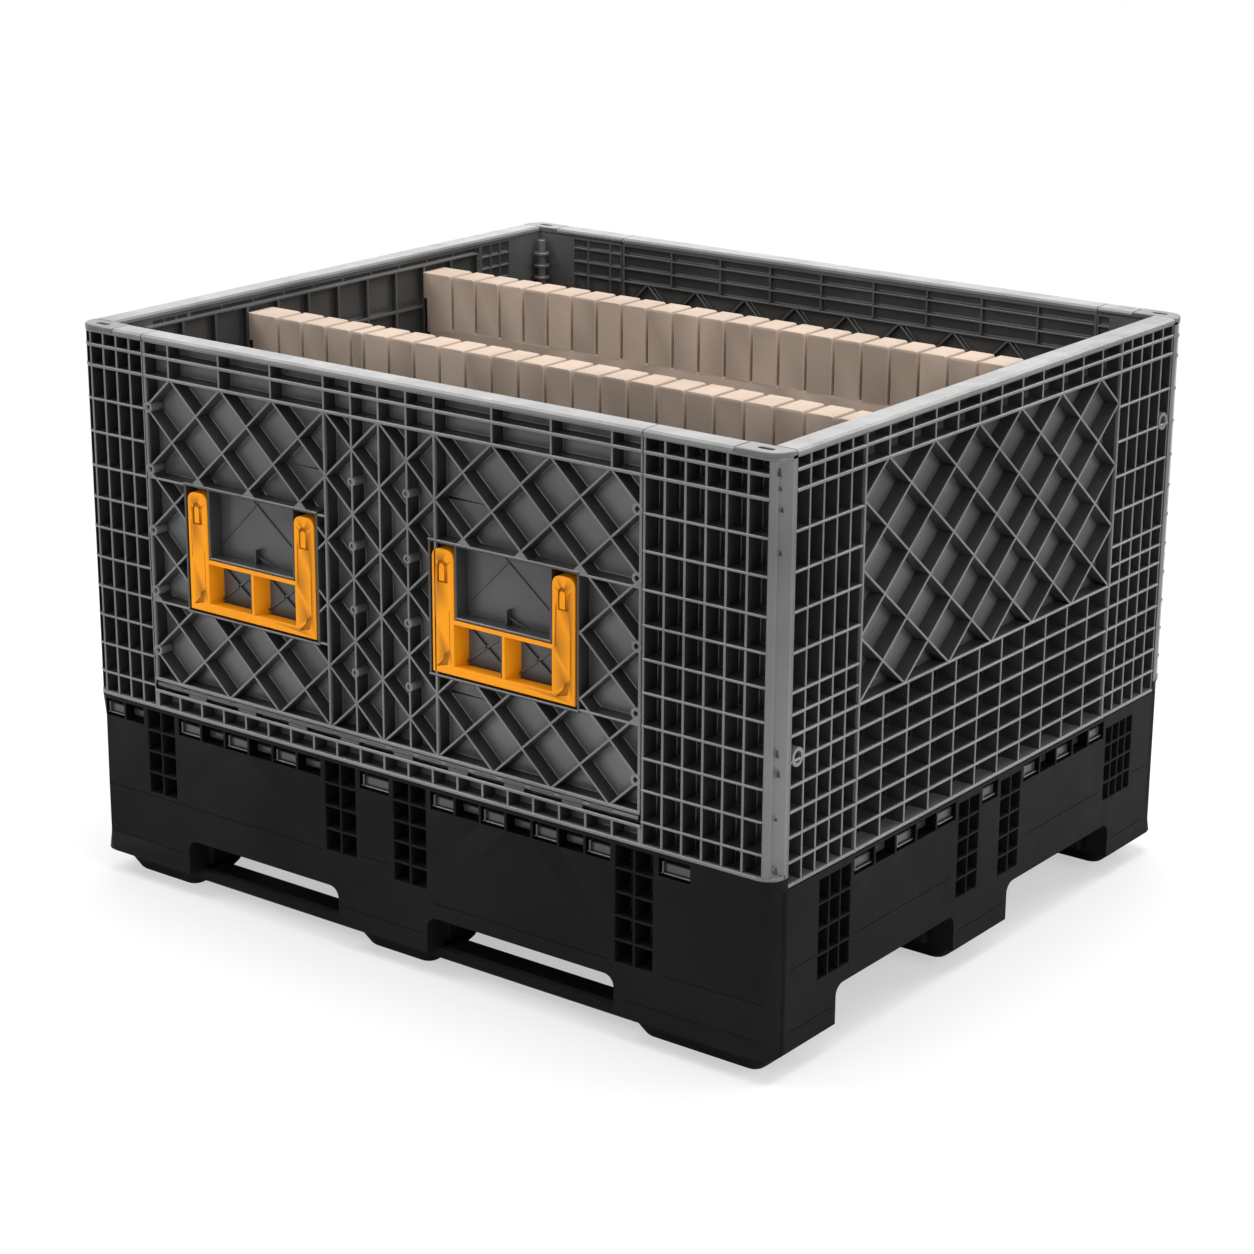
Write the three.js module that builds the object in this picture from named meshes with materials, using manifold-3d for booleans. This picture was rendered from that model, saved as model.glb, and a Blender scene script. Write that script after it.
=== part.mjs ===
import * as THREE from "three";
import { mergeVertices } from "three/addons/utils/BufferGeometryUtils.js";
import Module from "manifold-3d";

const wasm = await Module();
wasm.setup();

// Size of the container with its walls up, in millimetres. The long walls run along X.
const LENGTH = 1219;
const WIDTH = 1050;
const HEIGHT = 840;
const CORNER_RADIUS = 26;
const CORNER_SEGMENTS = 2;
const CLEARANCE = 1;

// Levels of the base.
const RUNNER_HEIGHT = 35;
const RUNNER_BRIDGE_UNDERSIDE = 14;
const FORK_TOP = 90;
const FLOOR_TOP = 130;
const BASE_TOP = 282;
const BASE_TOP_AT_ENDS = 266;
const WALL_THICKNESS = 36;
const LEFT_FOOT_LENGTH = 183.5;
const RIGHT_FOOT_LENGTH = 249.5;
const MIDDLE_FOOT_LEFT = -130;
const MIDDLE_FOOT_RIGHT = 35;
const FORK_WAY_ALONG_X_INNER = 72;
const FORK_WAY_ALONG_X_OUTER = 370;
const RUNNER_INSET = 22;
const RUNNER_WIDTH = 100;
const TOE_SLOPE = 34;
const WINDOW_BOTTOM = 150;
const WINDOW_TOP = 236;
const WINDOW_WIDTH = 60;
const LEFT_WINDOW_FROM_CORNER = 135.5;
const RIGHT_WINDOW_FROM_CORNER = 216;
const MIDDLE_WINDOW_CENTRES = [-122, 6];
const WINDOWS_ALONG_Y = [
  [-417, -330],
  [-72, -14],
  [41, 99],
  [343, 430],
];

// Levels of the walls. Rails one and two run right round under the rim.
const RIM_HEIGHT = 16;
const RAIL_ONE_DROP = 29;
const RAIL_SPACING = 30;
const LATCH_BAND_TOP = 631;
const LATCH_BAND_BOTTOM = 450;
const RIB = 4.5;
const RIB_DEPTH = 28;
const SKIN = 6;
const GRID_COLUMNS = 5;

// Drop door in each long wall, with diamond ribs nine pitches wide.
const LEFT_GRID_WIDTH = 127.5;
const RIGHT_GRID_WIDTH = 207.5;
const DOOR_BOTTOM = 327;
const DOOR_PITCHES = 9;
const TOP_BAND_ROWS = 3;
const LATCH_BAND_ROWS = 4;
const BOTTOM_BAND_ROWS = 3;
const DOOR_EDGE_GAP = 1.5;
const HINGE_AXIS_DEPTH = 4.5;
const HINGE_AXIS_LEVEL = 322;
const HINGE_ROD_RADIUS = 4;
const HINGE_KNUCKLE_LIP = 2;
const HINGE_STRIP_TOP = 313.5;
const KNUCKLE_LENGTH = 46;
const KNUCKLE_PITCH = 196;
const KNUCKLE_COUNT = 4;
const STRIP_CELLS = 4;

// Pull latches, two to a door, each a pierced U plate that swings about pins in its arm tops.
const LEFT_LATCH_FROM_DOOR_EDGE = 201;
const RIGHT_LATCH_FROM_DOOR_EDGE = 229;
const LATCH_WIDTH = 242;
const LATCH_BOTTOM = 452;
const LATCH_TOP = 625;
const LATCH_DEPTH = 20;
const LATCH_ARM = 38;
const LATCH_ARM_CHAMFER = 7;
const LATCH_STRIP_LEVEL = 524;
const LATCH_STRIP_HEIGHT = 6;
const LATCH_FOOT_HEIGHT = 12;
const LATCH_PARTITION = 5;
const LATCH_BOX_MARGIN = 3;
const LATCH_BOX_TOP_MARGIN = 8;
const LATCH_PIN_LEVEL = 610;
const LATCH_PIN_RADIUS = 4;
const LATCH_PIN_CLEARANCE = 0.4;
const PIN_SEGMENTS = 8;

// End walls, each with six wider diamond pitches, hinged lower than the long walls.
const END_GRID_WIDTH = 155;
const END_RAIL_DROP = 26;
const END_FIELD_BOTTOM = 470;
const END_PITCHES = 6;
const END_ROWS = 6;
const END_GRID_COLUMNS = 4;
const END_GRID_ROWS = 1;
const END_LOWER_ROWS = 2;
const END_LOWER_COLUMNS = 5;

// Ribbed liner panel on the inside of each end wall.
const LINER_DEPTH = 14;
const LINER_LEFT_GAP = 176;
const LINER_RIGHT_GAP = 59;
const LINER_BOTTOM = 300;
const LINER_TOP_DROP = 18;
const LINER_COLUMNS = 3;
const LINER_ROWS = 2;
const LINER_RIB = 12;

// Corner caps with a pin slot, and the lock rods that stand inside the corners.
const CAP_LENGTH = 70;
const CAP_THICKNESS = 7;
const CAP_SLOT_LENGTH = 22;
const CAP_SLOT_WIDTH = 9;
const ROD_RADIUS = 7;
const ROD_COLLAR_RADIUS = 13;
const ROD_COLLAR_HEIGHT = 5;
const ROD_COLLAR_DROP = 64;
const ROD_TOP_DROP = 18;
const ROD_CORNER_GAP = 3;
const ROD_SEGMENTS = 6;

// Foam combs that carry the load, standing on the floor from end to end.
const COMB_TOP_DROP = 28;
const COMB_THICKNESS = 55;
const COMB_CENTRE = 200;
const COMB_FIRST_BLOCK = 58;
const COMB_PITCH = 48.3;
const COMB_SLOT_WIDTH = 5;
const COMB_SLOT_DEPTH = 87;
const COMB_NARROW_BLOCK = 5;
const COMB_NARROW_WIDTH = 20;

const HALF_LENGTH = LENGTH / 2;
const HALF_WIDTH = WIDTH / 2;
const END_HALF_WIDTH = HALF_WIDTH - WALL_THICKNESS - CLEARANCE;
const RAIL_ONE = HEIGHT - RAIL_ONE_DROP;
const RAIL_TWO = RAIL_ONE - RAIL_SPACING;
const END_RAIL_ONE = HEIGHT - END_RAIL_DROP;
const END_FIELD_TOP = END_RAIL_ONE - END_RAIL_DROP;
const END_FIELD_HALF = END_HALF_WIDTH - END_GRID_WIDTH;
const DOOR_LEFT = -HALF_LENGTH + LEFT_GRID_WIDTH;
const DOOR_RIGHT = HALF_LENGTH - RIGHT_GRID_WIDTH;
const LATCH_CENTRES = [DOOR_LEFT + LEFT_LATCH_FROM_DOOR_EDGE, DOOR_RIGHT - RIGHT_LATCH_FROM_DOOR_EDGE];
const FORK_WAYS_ALONG_Y = [
  [-HALF_LENGTH + LEFT_FOOT_LENGTH, MIDDLE_FOOT_LEFT],
  [MIDDLE_FOOT_RIGHT, HALF_LENGTH - RIGHT_FOOT_LENGTH],
];
const WINDOW_CENTRES_ALONG_X = [
  -HALF_LENGTH + LEFT_WINDOW_FROM_CORNER,
  ...MIDDLE_WINDOW_CENTRES,
  HALF_LENGTH - RIGHT_WINDOW_FROM_CORNER,
];

// Turns a three.js geometry into a closed solid.
function solidOf(geometry) {
  geometry.deleteAttribute("normal");
  geometry.deleteAttribute("uv");
  const merged = mergeVertices(geometry, 1e-4);
  return new wasm.Manifold(
    new wasm.Mesh({
      numProp: 3,
      vertProperties: merged.attributes.position.array,
      triVerts: new Uint32Array(merged.index.array),
    }),
  );
}

// Block between two corners.
function block(x0, x1, y0, y1, z0, z1) {
  const geometry = new THREE.BoxGeometry(x1 - x0, y1 - y0, z1 - z0);
  geometry.translate((x0 + x1) / 2, (y0 + y1) / 2, (z0 + z1) / 2);
  return solidOf(geometry);
}

// Upright prism drawn as seen from outside the wall, between two depths behind its outer face.
function prism(outline, nearDepth, farDepth) {
  const shape = new THREE.Shape(outline.map(([u, v]) => new THREE.Vector2(u, v)));
  const geometry = new THREE.ExtrudeGeometry(shape, {
    depth: farDepth - nearDepth,
    bevelEnabled: false,
  });
  geometry.rotateX(Math.PI / 2);
  geometry.translate(0, farDepth, 0);
  return solidOf(geometry);
}

// Prism with a list of holes cut right through it.
function plate(outline, holes, nearDepth, farDepth) {
  const cutters = holes.map((hole) => prism(hole, nearDepth - CLEARANCE, farDepth + CLEARANCE));
  return wasm.Manifold.difference([prism(outline, nearDepth, farDepth), ...cutters]);
}

// Flat slab drawn in plan, between two levels.
function slab(shape, bottom, top) {
  const geometry = new THREE.ExtrudeGeometry(shape, {
    depth: top - bottom,
    bevelEnabled: false,
    curveSegments: CORNER_SEGMENTS,
  });
  geometry.translate(0, 0, bottom);
  return solidOf(geometry);
}

// Rectangle in plan with rounded corners.
function roundedPlan(halfX, halfY, radius) {
  const shape = new THREE.Shape();
  shape.moveTo(-halfX + radius, -halfY);
  shape.lineTo(halfX - radius, -halfY);
  shape.absarc(halfX - radius, -halfY + radius, radius, -Math.PI / 2, 0, false);
  shape.lineTo(halfX, halfY - radius);
  shape.absarc(halfX - radius, halfY - radius, radius, 0, Math.PI / 2, false);
  shape.lineTo(-halfX + radius, halfY);
  shape.absarc(-halfX + radius, halfY - radius, radius, Math.PI / 2, Math.PI, false);
  shape.lineTo(-halfX, -halfY + radius);
  shape.absarc(-halfX + radius, -halfY + radius, radius, Math.PI, Math.PI * 1.5, false);
  return shape;
}

// Rod along X.
function rodAlongX(radius, x0, x1, y, z, segments) {
  const geometry = new THREE.CylinderGeometry(radius, radius, x1 - x0, segments);
  geometry.rotateZ(Math.PI / 2);
  geometry.translate((x0 + x1) / 2, y, z);
  return solidOf(geometry);
}

// Rectangle as a list of corners.
function rectangle(u0, u1, v0, v1) {
  return [
    [u0, v0],
    [u1, v0],
    [u1, v1],
    [u0, v1],
  ];
}

// Moves every side of a convex outline inwards by the same distance.
function inset(outline, distance) {
  const lines = outline.map(([u, v], i) => {
    const [nextU, nextV] = outline[(i + 1) % outline.length];
    const length = Math.hypot(nextU - u, nextV - v);
    const normalU = -(nextV - v) / length;
    const normalV = (nextU - u) / length;
    return [normalU, normalV, normalU * u + normalV * v + distance];
  });
  return lines.map((line, i) => {
    const before = lines[(i + lines.length - 1) % lines.length];
    const cross = before[0] * line[1] - before[1] * line[0];
    return [
      (before[2] * line[1] - before[1] * line[2]) / cross,
      (before[0] * line[2] - before[2] * line[0]) / cross,
    ];
  });
}

// Even levels from a top to a bottom, both included.
function levels(top, bottom, count) {
  return Array.from({ length: count + 1 }, (unused, i) => top + ((bottom - top) * i) / count);
}

// Cells of a diamond lattice whose crossings lie on given rows, cut off at the field's edges.
// With no shift a crossing lies in the field's top left corner, with a shift of one half a pitch on.
function diamondCells(left, right, pitches, rows, shift) {
  const half = (right - left) / pitches / 2;
  const cells = [];
  for (let row = 0; row < rows.length; row += 1) {
    for (let column = 0; column <= pitches * 2; column += 1) {
      if ((row + column + shift) % 2 === 0) {
        continue;
      }
      const u = left + column * half;
      const atEnd = row === 0 || row + 1 === rows.length;
      const fieldCorner = atEnd ? [[u, rows[row]]] : [];
      const corners = [];
      if (row + 1 < rows.length) {
        corners.push([u, rows[row + 1]]);
      }
      corners.push(...(column < pitches * 2 ? [[u + half, rows[row]]] : fieldCorner));
      if (row > 0) {
        corners.push([u, rows[row - 1]]);
      }
      corners.push(...(column > 0 ? [[u - half, rows[row]]] : fieldCorner));
      cells.push(inset(corners, RIB / 2));
    }
  }
  return cells;
}

// Rectangular cells between given rows.
function gridCells(left, right, columns, rows) {
  const width = (right - left) / columns;
  const cells = [];
  for (let row = 0; row + 1 < rows.length; row += 1) {
    for (let column = 0; column < columns; column += 1) {
      const u = left + column * width;
      cells.push(inset(rectangle(u, u + width, rows[row + 1], rows[row]), RIB / 2));
    }
  }
  return cells;
}

const WALL_GREY = 0x5c5c5c;
const BASE_BLACK = 0x262626;
const LATCH_ORANGE = 0xf29a1e;
const FOAM_BEIGE = 0xb3a294;
const STEEL_GREY = 0x777777;

// Named mesh of a solid.
function meshOf(name, solid, colour) {
  const made = solid.getMesh();
  const geometry = new THREE.BufferGeometry();
  geometry.setAttribute("position", new THREE.BufferAttribute(made.vertProperties, 3));
  geometry.setIndex(new THREE.BufferAttribute(made.triVerts, 1));
  geometry.computeVertexNormals();
  const mesh = new THREE.Mesh(geometry, new THREE.MeshStandardMaterial({ color: colour, roughness: 0.6 }));
  mesh.name = name;
  return mesh;
}

// Base: a floor inside a skirt, on nine feet between the fork ways.
function baseDeck() {
  const plan = roundedPlan(HALF_LENGTH, HALF_WIDTH, CORNER_RADIUS);
  let base = slab(plan, RUNNER_HEIGHT, BASE_TOP);
  base = base.subtract(
    block(
      -HALF_LENGTH + WALL_THICKNESS,
      HALF_LENGTH - WALL_THICKNESS,
      -HALF_WIDTH + WALL_THICKNESS,
      HALF_WIDTH - WALL_THICKNESS,
      FLOOR_TOP,
      HEIGHT,
    ),
  );
  const endHalf = HALF_WIDTH - WALL_THICKNESS;
  base = base.subtract(block(-LENGTH, LENGTH, -endHalf, endHalf, BASE_TOP_AT_ENDS, HEIGHT));
  for (const [x0, x1] of FORK_WAYS_ALONG_Y) {
    base = base.subtract(block(x0, x1, -WIDTH, WIDTH, 0, FORK_TOP));
  }
  for (const side of [-1, 1]) {
    const y0 = Math.min(side * FORK_WAY_ALONG_X_INNER, side * FORK_WAY_ALONG_X_OUTER);
    const y1 = Math.max(side * FORK_WAY_ALONG_X_INNER, side * FORK_WAY_ALONG_X_OUTER);
    base = base.subtract(block(-LENGTH, LENGTH, y0, y1, 0, FORK_TOP));
  }
  for (const x of WINDOW_CENTRES_ALONG_X) {
    const window = block(x - WINDOW_WIDTH / 2, x + WINDOW_WIDTH / 2, -WIDTH, WIDTH, WINDOW_BOTTOM, WINDOW_TOP);
    base = base.subtract(window);
  }
  for (const [y0, y1] of WINDOWS_ALONG_Y) {
    base = base.subtract(block(-LENGTH, LENGTH, y0, y1, WINDOW_BOTTOM, WINDOW_TOP));
  }
  return base;
}

// Runner along X: a tapered toe under each of three feet, joined by thinner bridges.
function runner() {
  const ends = [-HALF_LENGTH + RUNNER_INSET / 2, HALF_LENGTH - RUNNER_INSET / 2];
  const [leftWay, rightWay] = FORK_WAYS_ALONG_Y;
  const outline = [
    [ends[0], RUNNER_HEIGHT],
    [ends[0] + TOE_SLOPE, 0],
    [leftWay[0], 0],
    [leftWay[0] + TOE_SLOPE, RUNNER_BRIDGE_UNDERSIDE],
    [leftWay[1] - TOE_SLOPE, RUNNER_BRIDGE_UNDERSIDE],
    [leftWay[1], 0],
    [rightWay[0], 0],
    [rightWay[0] + TOE_SLOPE, RUNNER_BRIDGE_UNDERSIDE],
    [rightWay[1] - TOE_SLOPE, RUNNER_BRIDGE_UNDERSIDE],
    [rightWay[1], 0],
    [ends[1] - TOE_SLOPE, 0],
    [ends[1], RUNNER_HEIGHT],
  ];
  return plate(outline, [], 0, RUNNER_WIDTH);
}

// Latch box in the door: a frame of ribs round a pocket that is open to the outside.
function latchBox(centre) {
  const half = LATCH_WIDTH / 2 + LATCH_BOX_MARGIN;
  const low = LATCH_BOTTOM - LATCH_BOX_MARGIN;
  const high = LATCH_TOP + LATCH_BOX_TOP_MARGIN;
  return {
    outer: block(centre - half - RIB, centre + half + RIB, 0, RIB_DEPTH, low - RIB, high + RIB),
    inner: block(centre - half, centre + half, -RIB_DEPTH, RIB_DEPTH, low, high),
  };
}

// Drop door: diamond ribs on a skin, a rim rail on top and hinge knuckles below.
function door() {
  const left = DOOR_LEFT + DOOR_EDGE_GAP;
  const right = DOOR_RIGHT - DOOR_EDGE_GAP;
  const rows = [
    ...levels(RAIL_TWO, LATCH_BAND_TOP, TOP_BAND_ROWS).slice(0, -1),
    ...levels(LATCH_BAND_TOP, LATCH_BAND_BOTTOM, LATCH_BAND_ROWS).slice(0, -1),
    ...levels(LATCH_BAND_BOTTOM, DOOR_BOTTOM + RIB / 2, BOTTOM_BAND_ROWS),
  ];
  const cells = [
    ...diamondCells(left + RIB / 2, right - RIB / 2, DOOR_PITCHES, rows, 1),
    ...gridCells(left + RIB / 2, right - RIB / 2, DOOR_PITCHES, [RAIL_ONE, RAIL_TWO]),
  ];
  let made = plate(rectangle(left, right, DOOR_BOTTOM, HEIGHT), cells, 0, RIB_DEPTH);
  made = made.add(block(left, right, RIB_DEPTH, RIB_DEPTH + SKIN, DOOR_BOTTOM, HEIGHT));
  made = made.add(block(left, right, RIB_DEPTH, WALL_THICKNESS, HEIGHT - RIM_HEIGHT, HEIGHT));
  for (const centre of LATCH_CENTRES) {
    const box = latchBox(centre);
    made = made.add(box.outer).subtract(box.inner);
  }
  const rodBack = HINGE_AXIS_DEPTH + HINGE_ROD_RADIUS + LATCH_PIN_CLEARANCE;
  for (let i = 0; i < KNUCKLE_COUNT; i += 1) {
    const centre = (left + right) / 2 + (i - (KNUCKLE_COUNT - 1) / 2) * KNUCKLE_PITCH;
    made = made.add(
      block(
        centre - KNUCKLE_LENGTH / 2,
        centre + KNUCKLE_LENGTH / 2,
        rodBack,
        rodBack + SKIN,
        HINGE_AXIS_LEVEL - HINGE_ROD_RADIUS,
        DOOR_BOTTOM + RIB,
      ),
    );
  }
  return made;
}

// Fixed U of a long wall: an open grid either side of the door and the strip that carries its hinge.
function longWallFrame() {
  const left = DOOR_LEFT;
  const right = DOOR_RIGHT;
  const outline = [
    [-HALF_LENGTH, BASE_TOP],
    [HALF_LENGTH, BASE_TOP],
    [HALF_LENGTH, HEIGHT],
    [right, HEIGHT],
    [right, HINGE_STRIP_TOP],
    [left, HINGE_STRIP_TOP],
    [left, HEIGHT],
    [-HALF_LENGTH, HEIGHT],
  ];
  const rows = [RAIL_ONE, RAIL_TWO, LATCH_BAND_TOP, LATCH_BAND_BOTTOM, BASE_TOP + RIB / 2];
  const cells = [
    ...gridCells(-HALF_LENGTH + RIB / 2, left - RIB / 2, GRID_COLUMNS, rows),
    ...gridCells(right + RIB / 2, HALF_LENGTH - RIB / 2, GRID_COLUMNS, rows),
    ...gridCells(left + RIB, right - RIB, STRIP_CELLS, [HINGE_STRIP_TOP - RIB / 2, BASE_TOP + RIB / 2]),
  ];
  let made = plate(outline, cells, 0, WALL_THICKNESS);
  made = made.add(
    block(left, right, RIB_DEPTH, RIB_DEPTH + SKIN, BASE_TOP, HINGE_STRIP_TOP),
  );
  for (let i = 0; i < KNUCKLE_COUNT - 1; i += 1) {
    const centre = (left + right) / 2 + (i - (KNUCKLE_COUNT - 2) / 2) * KNUCKLE_PITCH;
    made = made.add(
      block(
        centre - KNUCKLE_LENGTH / 2,
        centre + KNUCKLE_LENGTH / 2,
        HINGE_AXIS_DEPTH - HINGE_KNUCKLE_LIP,
        HINGE_AXIS_DEPTH + HINGE_ROD_RADIUS,
        HINGE_STRIP_TOP - RIB,
        HINGE_AXIS_LEVEL - HINGE_ROD_RADIUS,
      ),
    );
  }
  const plan = roundedPlan(HALF_LENGTH, HALF_WIDTH, CORNER_RADIUS);
  const corners = slab(plan, 0, LENGTH).translate(0, HALF_WIDTH, 0);
  made = made.intersect(corners);
  for (const side of [-1, 1]) {
    const near = side * (HALF_LENGTH - CAP_LENGTH);
    const far = side * (HALF_LENGTH + CLEARANCE);
    made = made.subtract(
      block(
        Math.min(near, far),
        Math.max(near, far),
        -CLEARANCE,
        WALL_THICKNESS + CLEARANCE,
        HEIGHT - CAP_THICKNESS,
        HEIGHT + CLEARANCE,
      ),
    );
  }
  return made;
}

// End wall: diamond ribs on a skin between two open grids, with a finer grid below.
function endWall() {
  const bottom = BASE_TOP_AT_ENDS;
  const rows = levels(END_FIELD_TOP, END_FIELD_BOTTOM, END_ROWS);
  const gridRows = [
    END_RAIL_ONE,
    ...levels(END_FIELD_TOP, END_FIELD_BOTTOM, END_GRID_ROWS),
    bottom + RIB / 2,
  ];
  const lowerRows = levels(END_FIELD_BOTTOM, bottom + RIB / 2, END_LOWER_ROWS);
  const edge = END_HALF_WIDTH - RIB / 2;
  const cells = [
    ...diamondCells(-END_FIELD_HALF, END_FIELD_HALF, END_PITCHES, rows, 0),
    ...gridCells(-END_FIELD_HALF, END_FIELD_HALF, END_PITCHES, [END_RAIL_ONE, END_FIELD_TOP]),
    ...gridCells(-END_FIELD_HALF, END_FIELD_HALF, END_LOWER_COLUMNS, lowerRows),
    ...gridCells(-edge, -END_FIELD_HALF, END_GRID_COLUMNS, gridRows),
    ...gridCells(END_FIELD_HALF, edge, END_GRID_COLUMNS, gridRows),
  ];
  const outline = rectangle(-END_HALF_WIDTH, END_HALF_WIDTH, bottom, HEIGHT);
  return plate(outline, cells, 0, RIB_DEPTH)
    .add(
      block(
        -END_FIELD_HALF - RIB / 2,
        END_FIELD_HALF + RIB / 2,
        RIB_DEPTH,
        RIB_DEPTH + SKIN,
        bottom,
        HEIGHT,
      ),
    )
    .add(
      block(
        -END_HALF_WIDTH,
        END_HALF_WIDTH,
        RIB_DEPTH,
        WALL_THICKNESS,
        HEIGHT - RIM_HEIGHT,
        HEIGHT,
      ),
    );
}

// Liner panel, standing against the inner face of the end wall's skin, set off the wall's middle.
function liner() {
  const left = -END_HALF_WIDTH + LINER_LEFT_GAP;
  const right = END_HALF_WIDTH - LINER_RIGHT_GAP;
  const top = HEIGHT - LINER_TOP_DROP;
  const rows = levels(top - LINER_RIB, LINER_BOTTOM + LINER_RIB, LINER_ROWS);
  const cells = gridCells(
    left + LINER_RIB,
    right - LINER_RIB,
    LINER_COLUMNS,
    rows,
  ).map((cell) => inset(cell, LINER_RIB / 2));
  const start = RIB_DEPTH + SKIN + CLEARANCE / 2;
  const outline = rectangle(left, right, LINER_BOTTOM, top);
  return plate(outline, cells, start, start + LINER_DEPTH);
}

// Latch plate, with two finger cells and an open hand pocket between its arms.
function latch(centre) {
  const half = LATCH_WIDTH / 2;
  const armInner = half - LATCH_ARM;
  const stripTop = LATCH_STRIP_LEVEL + LATCH_STRIP_HEIGHT;
  const outline = [
    [-half, LATCH_BOTTOM],
    [half, LATCH_BOTTOM],
    [half, LATCH_TOP - LATCH_ARM_CHAMFER],
    [half - LATCH_ARM_CHAMFER, LATCH_TOP],
    [armInner + LATCH_ARM_CHAMFER, LATCH_TOP],
    [armInner, LATCH_TOP - LATCH_ARM_CHAMFER],
    [armInner, stripTop],
    [-armInner, stripTop],
    [-armInner, LATCH_TOP - LATCH_ARM_CHAMFER],
    [-armInner - LATCH_ARM_CHAMFER, LATCH_TOP],
    [-half + LATCH_ARM_CHAMFER, LATCH_TOP],
    [-half, LATCH_TOP - LATCH_ARM_CHAMFER],
  ].map(([u, v]) => [u + centre, v]);
  const low = LATCH_BOTTOM + LATCH_FOOT_HEIGHT;
  const middle = LATCH_PARTITION / 2;
  const holes = [
    rectangle(centre - armInner, centre - middle, low, LATCH_STRIP_LEVEL),
    rectangle(centre + middle, centre + armInner, low, LATCH_STRIP_LEVEL),
  ];
  const bore = rodAlongX(
    LATCH_PIN_RADIUS + LATCH_PIN_CLEARANCE,
    centre - LATCH_WIDTH,
    centre + LATCH_WIDTH,
    LATCH_DEPTH / 2,
    LATCH_PIN_LEVEL,
    PIN_SEGMENTS,
  );
  return plate(outline, holes, 0, LATCH_DEPTH).subtract(bore);
}

// Pin through one arm of a latch, flush with the arm inside and against the latch box outside.
function latchPin(centre, side) {
  const far = centre + side * (LATCH_WIDTH / 2 + LATCH_BOX_MARGIN);
  const near = centre + side * (LATCH_WIDTH / 2 - LATCH_ARM);
  return rodAlongX(
    LATCH_PIN_RADIUS,
    Math.min(near, far),
    Math.max(near, far),
    LATCH_DEPTH / 2,
    LATCH_PIN_LEVEL,
    PIN_SEGMENTS,
  );
}

// Cap over one corner of the rim, with a slot for the pin of the container above.
function cornerCap() {
  const plan = roundedPlan(HALF_LENGTH, HALF_WIDTH, CORNER_RADIUS);
  const outer = slab(plan, HEIGHT - CAP_THICKNESS, HEIGHT);
  const corner = block(
    HALF_LENGTH - CAP_LENGTH + CLEARANCE / 2,
    HALF_LENGTH,
    -HALF_WIDTH,
    -HALF_WIDTH + WALL_THICKNESS,
    0,
    LENGTH,
  );
  const slotCentre = HALF_LENGTH - CAP_LENGTH / 2;
  const slot = block(
    slotCentre - CAP_SLOT_LENGTH / 2,
    slotCentre + CAP_SLOT_LENGTH / 2,
    -HALF_WIDTH + WALL_THICKNESS / 2 - CAP_SLOT_WIDTH / 2,
    -HALF_WIDTH + WALL_THICKNESS / 2 + CAP_SLOT_WIDTH / 2,
    0,
    LENGTH,
  );
  return outer.intersect(corner).subtract(slot);
}

// Upright lock rod with a collar, turned from a profile.
function lockRod() {
  const profile = [new THREE.Vector2(0, FLOOR_TOP), new THREE.Vector2(ROD_RADIUS, FLOOR_TOP)];
  const collar = HEIGHT - ROD_COLLAR_DROP;
  profile.push(new THREE.Vector2(ROD_RADIUS, collar));
  profile.push(new THREE.Vector2(ROD_COLLAR_RADIUS, collar));
  profile.push(new THREE.Vector2(ROD_COLLAR_RADIUS, collar + ROD_COLLAR_HEIGHT));
  profile.push(new THREE.Vector2(ROD_RADIUS, collar + ROD_COLLAR_HEIGHT));
  profile.push(new THREE.Vector2(ROD_RADIUS, HEIGHT - ROD_TOP_DROP));
  profile.push(new THREE.Vector2(0, HEIGHT - ROD_TOP_DROP));
  const geometry = new THREE.LatheGeometry(profile, ROD_SEGMENTS);
  geometry.rotateX(Math.PI / 2);
  const inset = WALL_THICKNESS + ROD_COLLAR_RADIUS + ROD_CORNER_GAP;
  geometry.translate(HALF_LENGTH - inset, -HALF_WIDTH + inset, 0);
  return solidOf(geometry);
}

// Foam comb: a long bar slotted from its top. One block of the front comb is narrow.
function comb(hasNarrowBlock) {
  const end = HALF_LENGTH - RIB_DEPTH - SKIN - LINER_DEPTH - CLEARANCE;
  const top = HEIGHT - COMB_TOP_DROP;
  const outline = [
    [-end, FLOOR_TOP],
    [end, FLOOR_TOP],
    [end, top],
  ];
  const cuts = [];
  let edge = -end + COMB_FIRST_BLOCK;
  let count = 1;
  while (edge + COMB_SLOT_WIDTH < end - COMB_NARROW_WIDTH) {
    cuts.push(edge);
    count += 1;
    const narrow = hasNarrowBlock && count === COMB_NARROW_BLOCK;
    edge += narrow ? COMB_NARROW_WIDTH + COMB_SLOT_WIDTH : COMB_PITCH;
  }
  for (const cut of cuts.reverse()) {
    outline.push([cut + COMB_SLOT_WIDTH, top]);
    outline.push([cut + COMB_SLOT_WIDTH, top - COMB_SLOT_DEPTH]);
    outline.push([cut, top - COMB_SLOT_DEPTH]);
    outline.push([cut, top]);
  }
  outline.push([-end, top]);
  return plate(outline, [], 0, COMB_THICKNESS);
}

const root = new THREE.Group();
root.name = "container";
root.add(meshOf("base_deck", baseDeck(), BASE_BLACK));

const runnerRows = [
  ["runner_front", -HALF_WIDTH + RUNNER_INSET],
  ["runner_middle", -RUNNER_WIDTH / 2],
  ["runner_rear", HALF_WIDTH - RUNNER_INSET - RUNNER_WIDTH],
];
for (const [name, y] of runnerRows) {
  const mesh = meshOf(name, runner(), BASE_BLACK);
  mesh.position.y = y;
  root.add(mesh);
}

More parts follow.
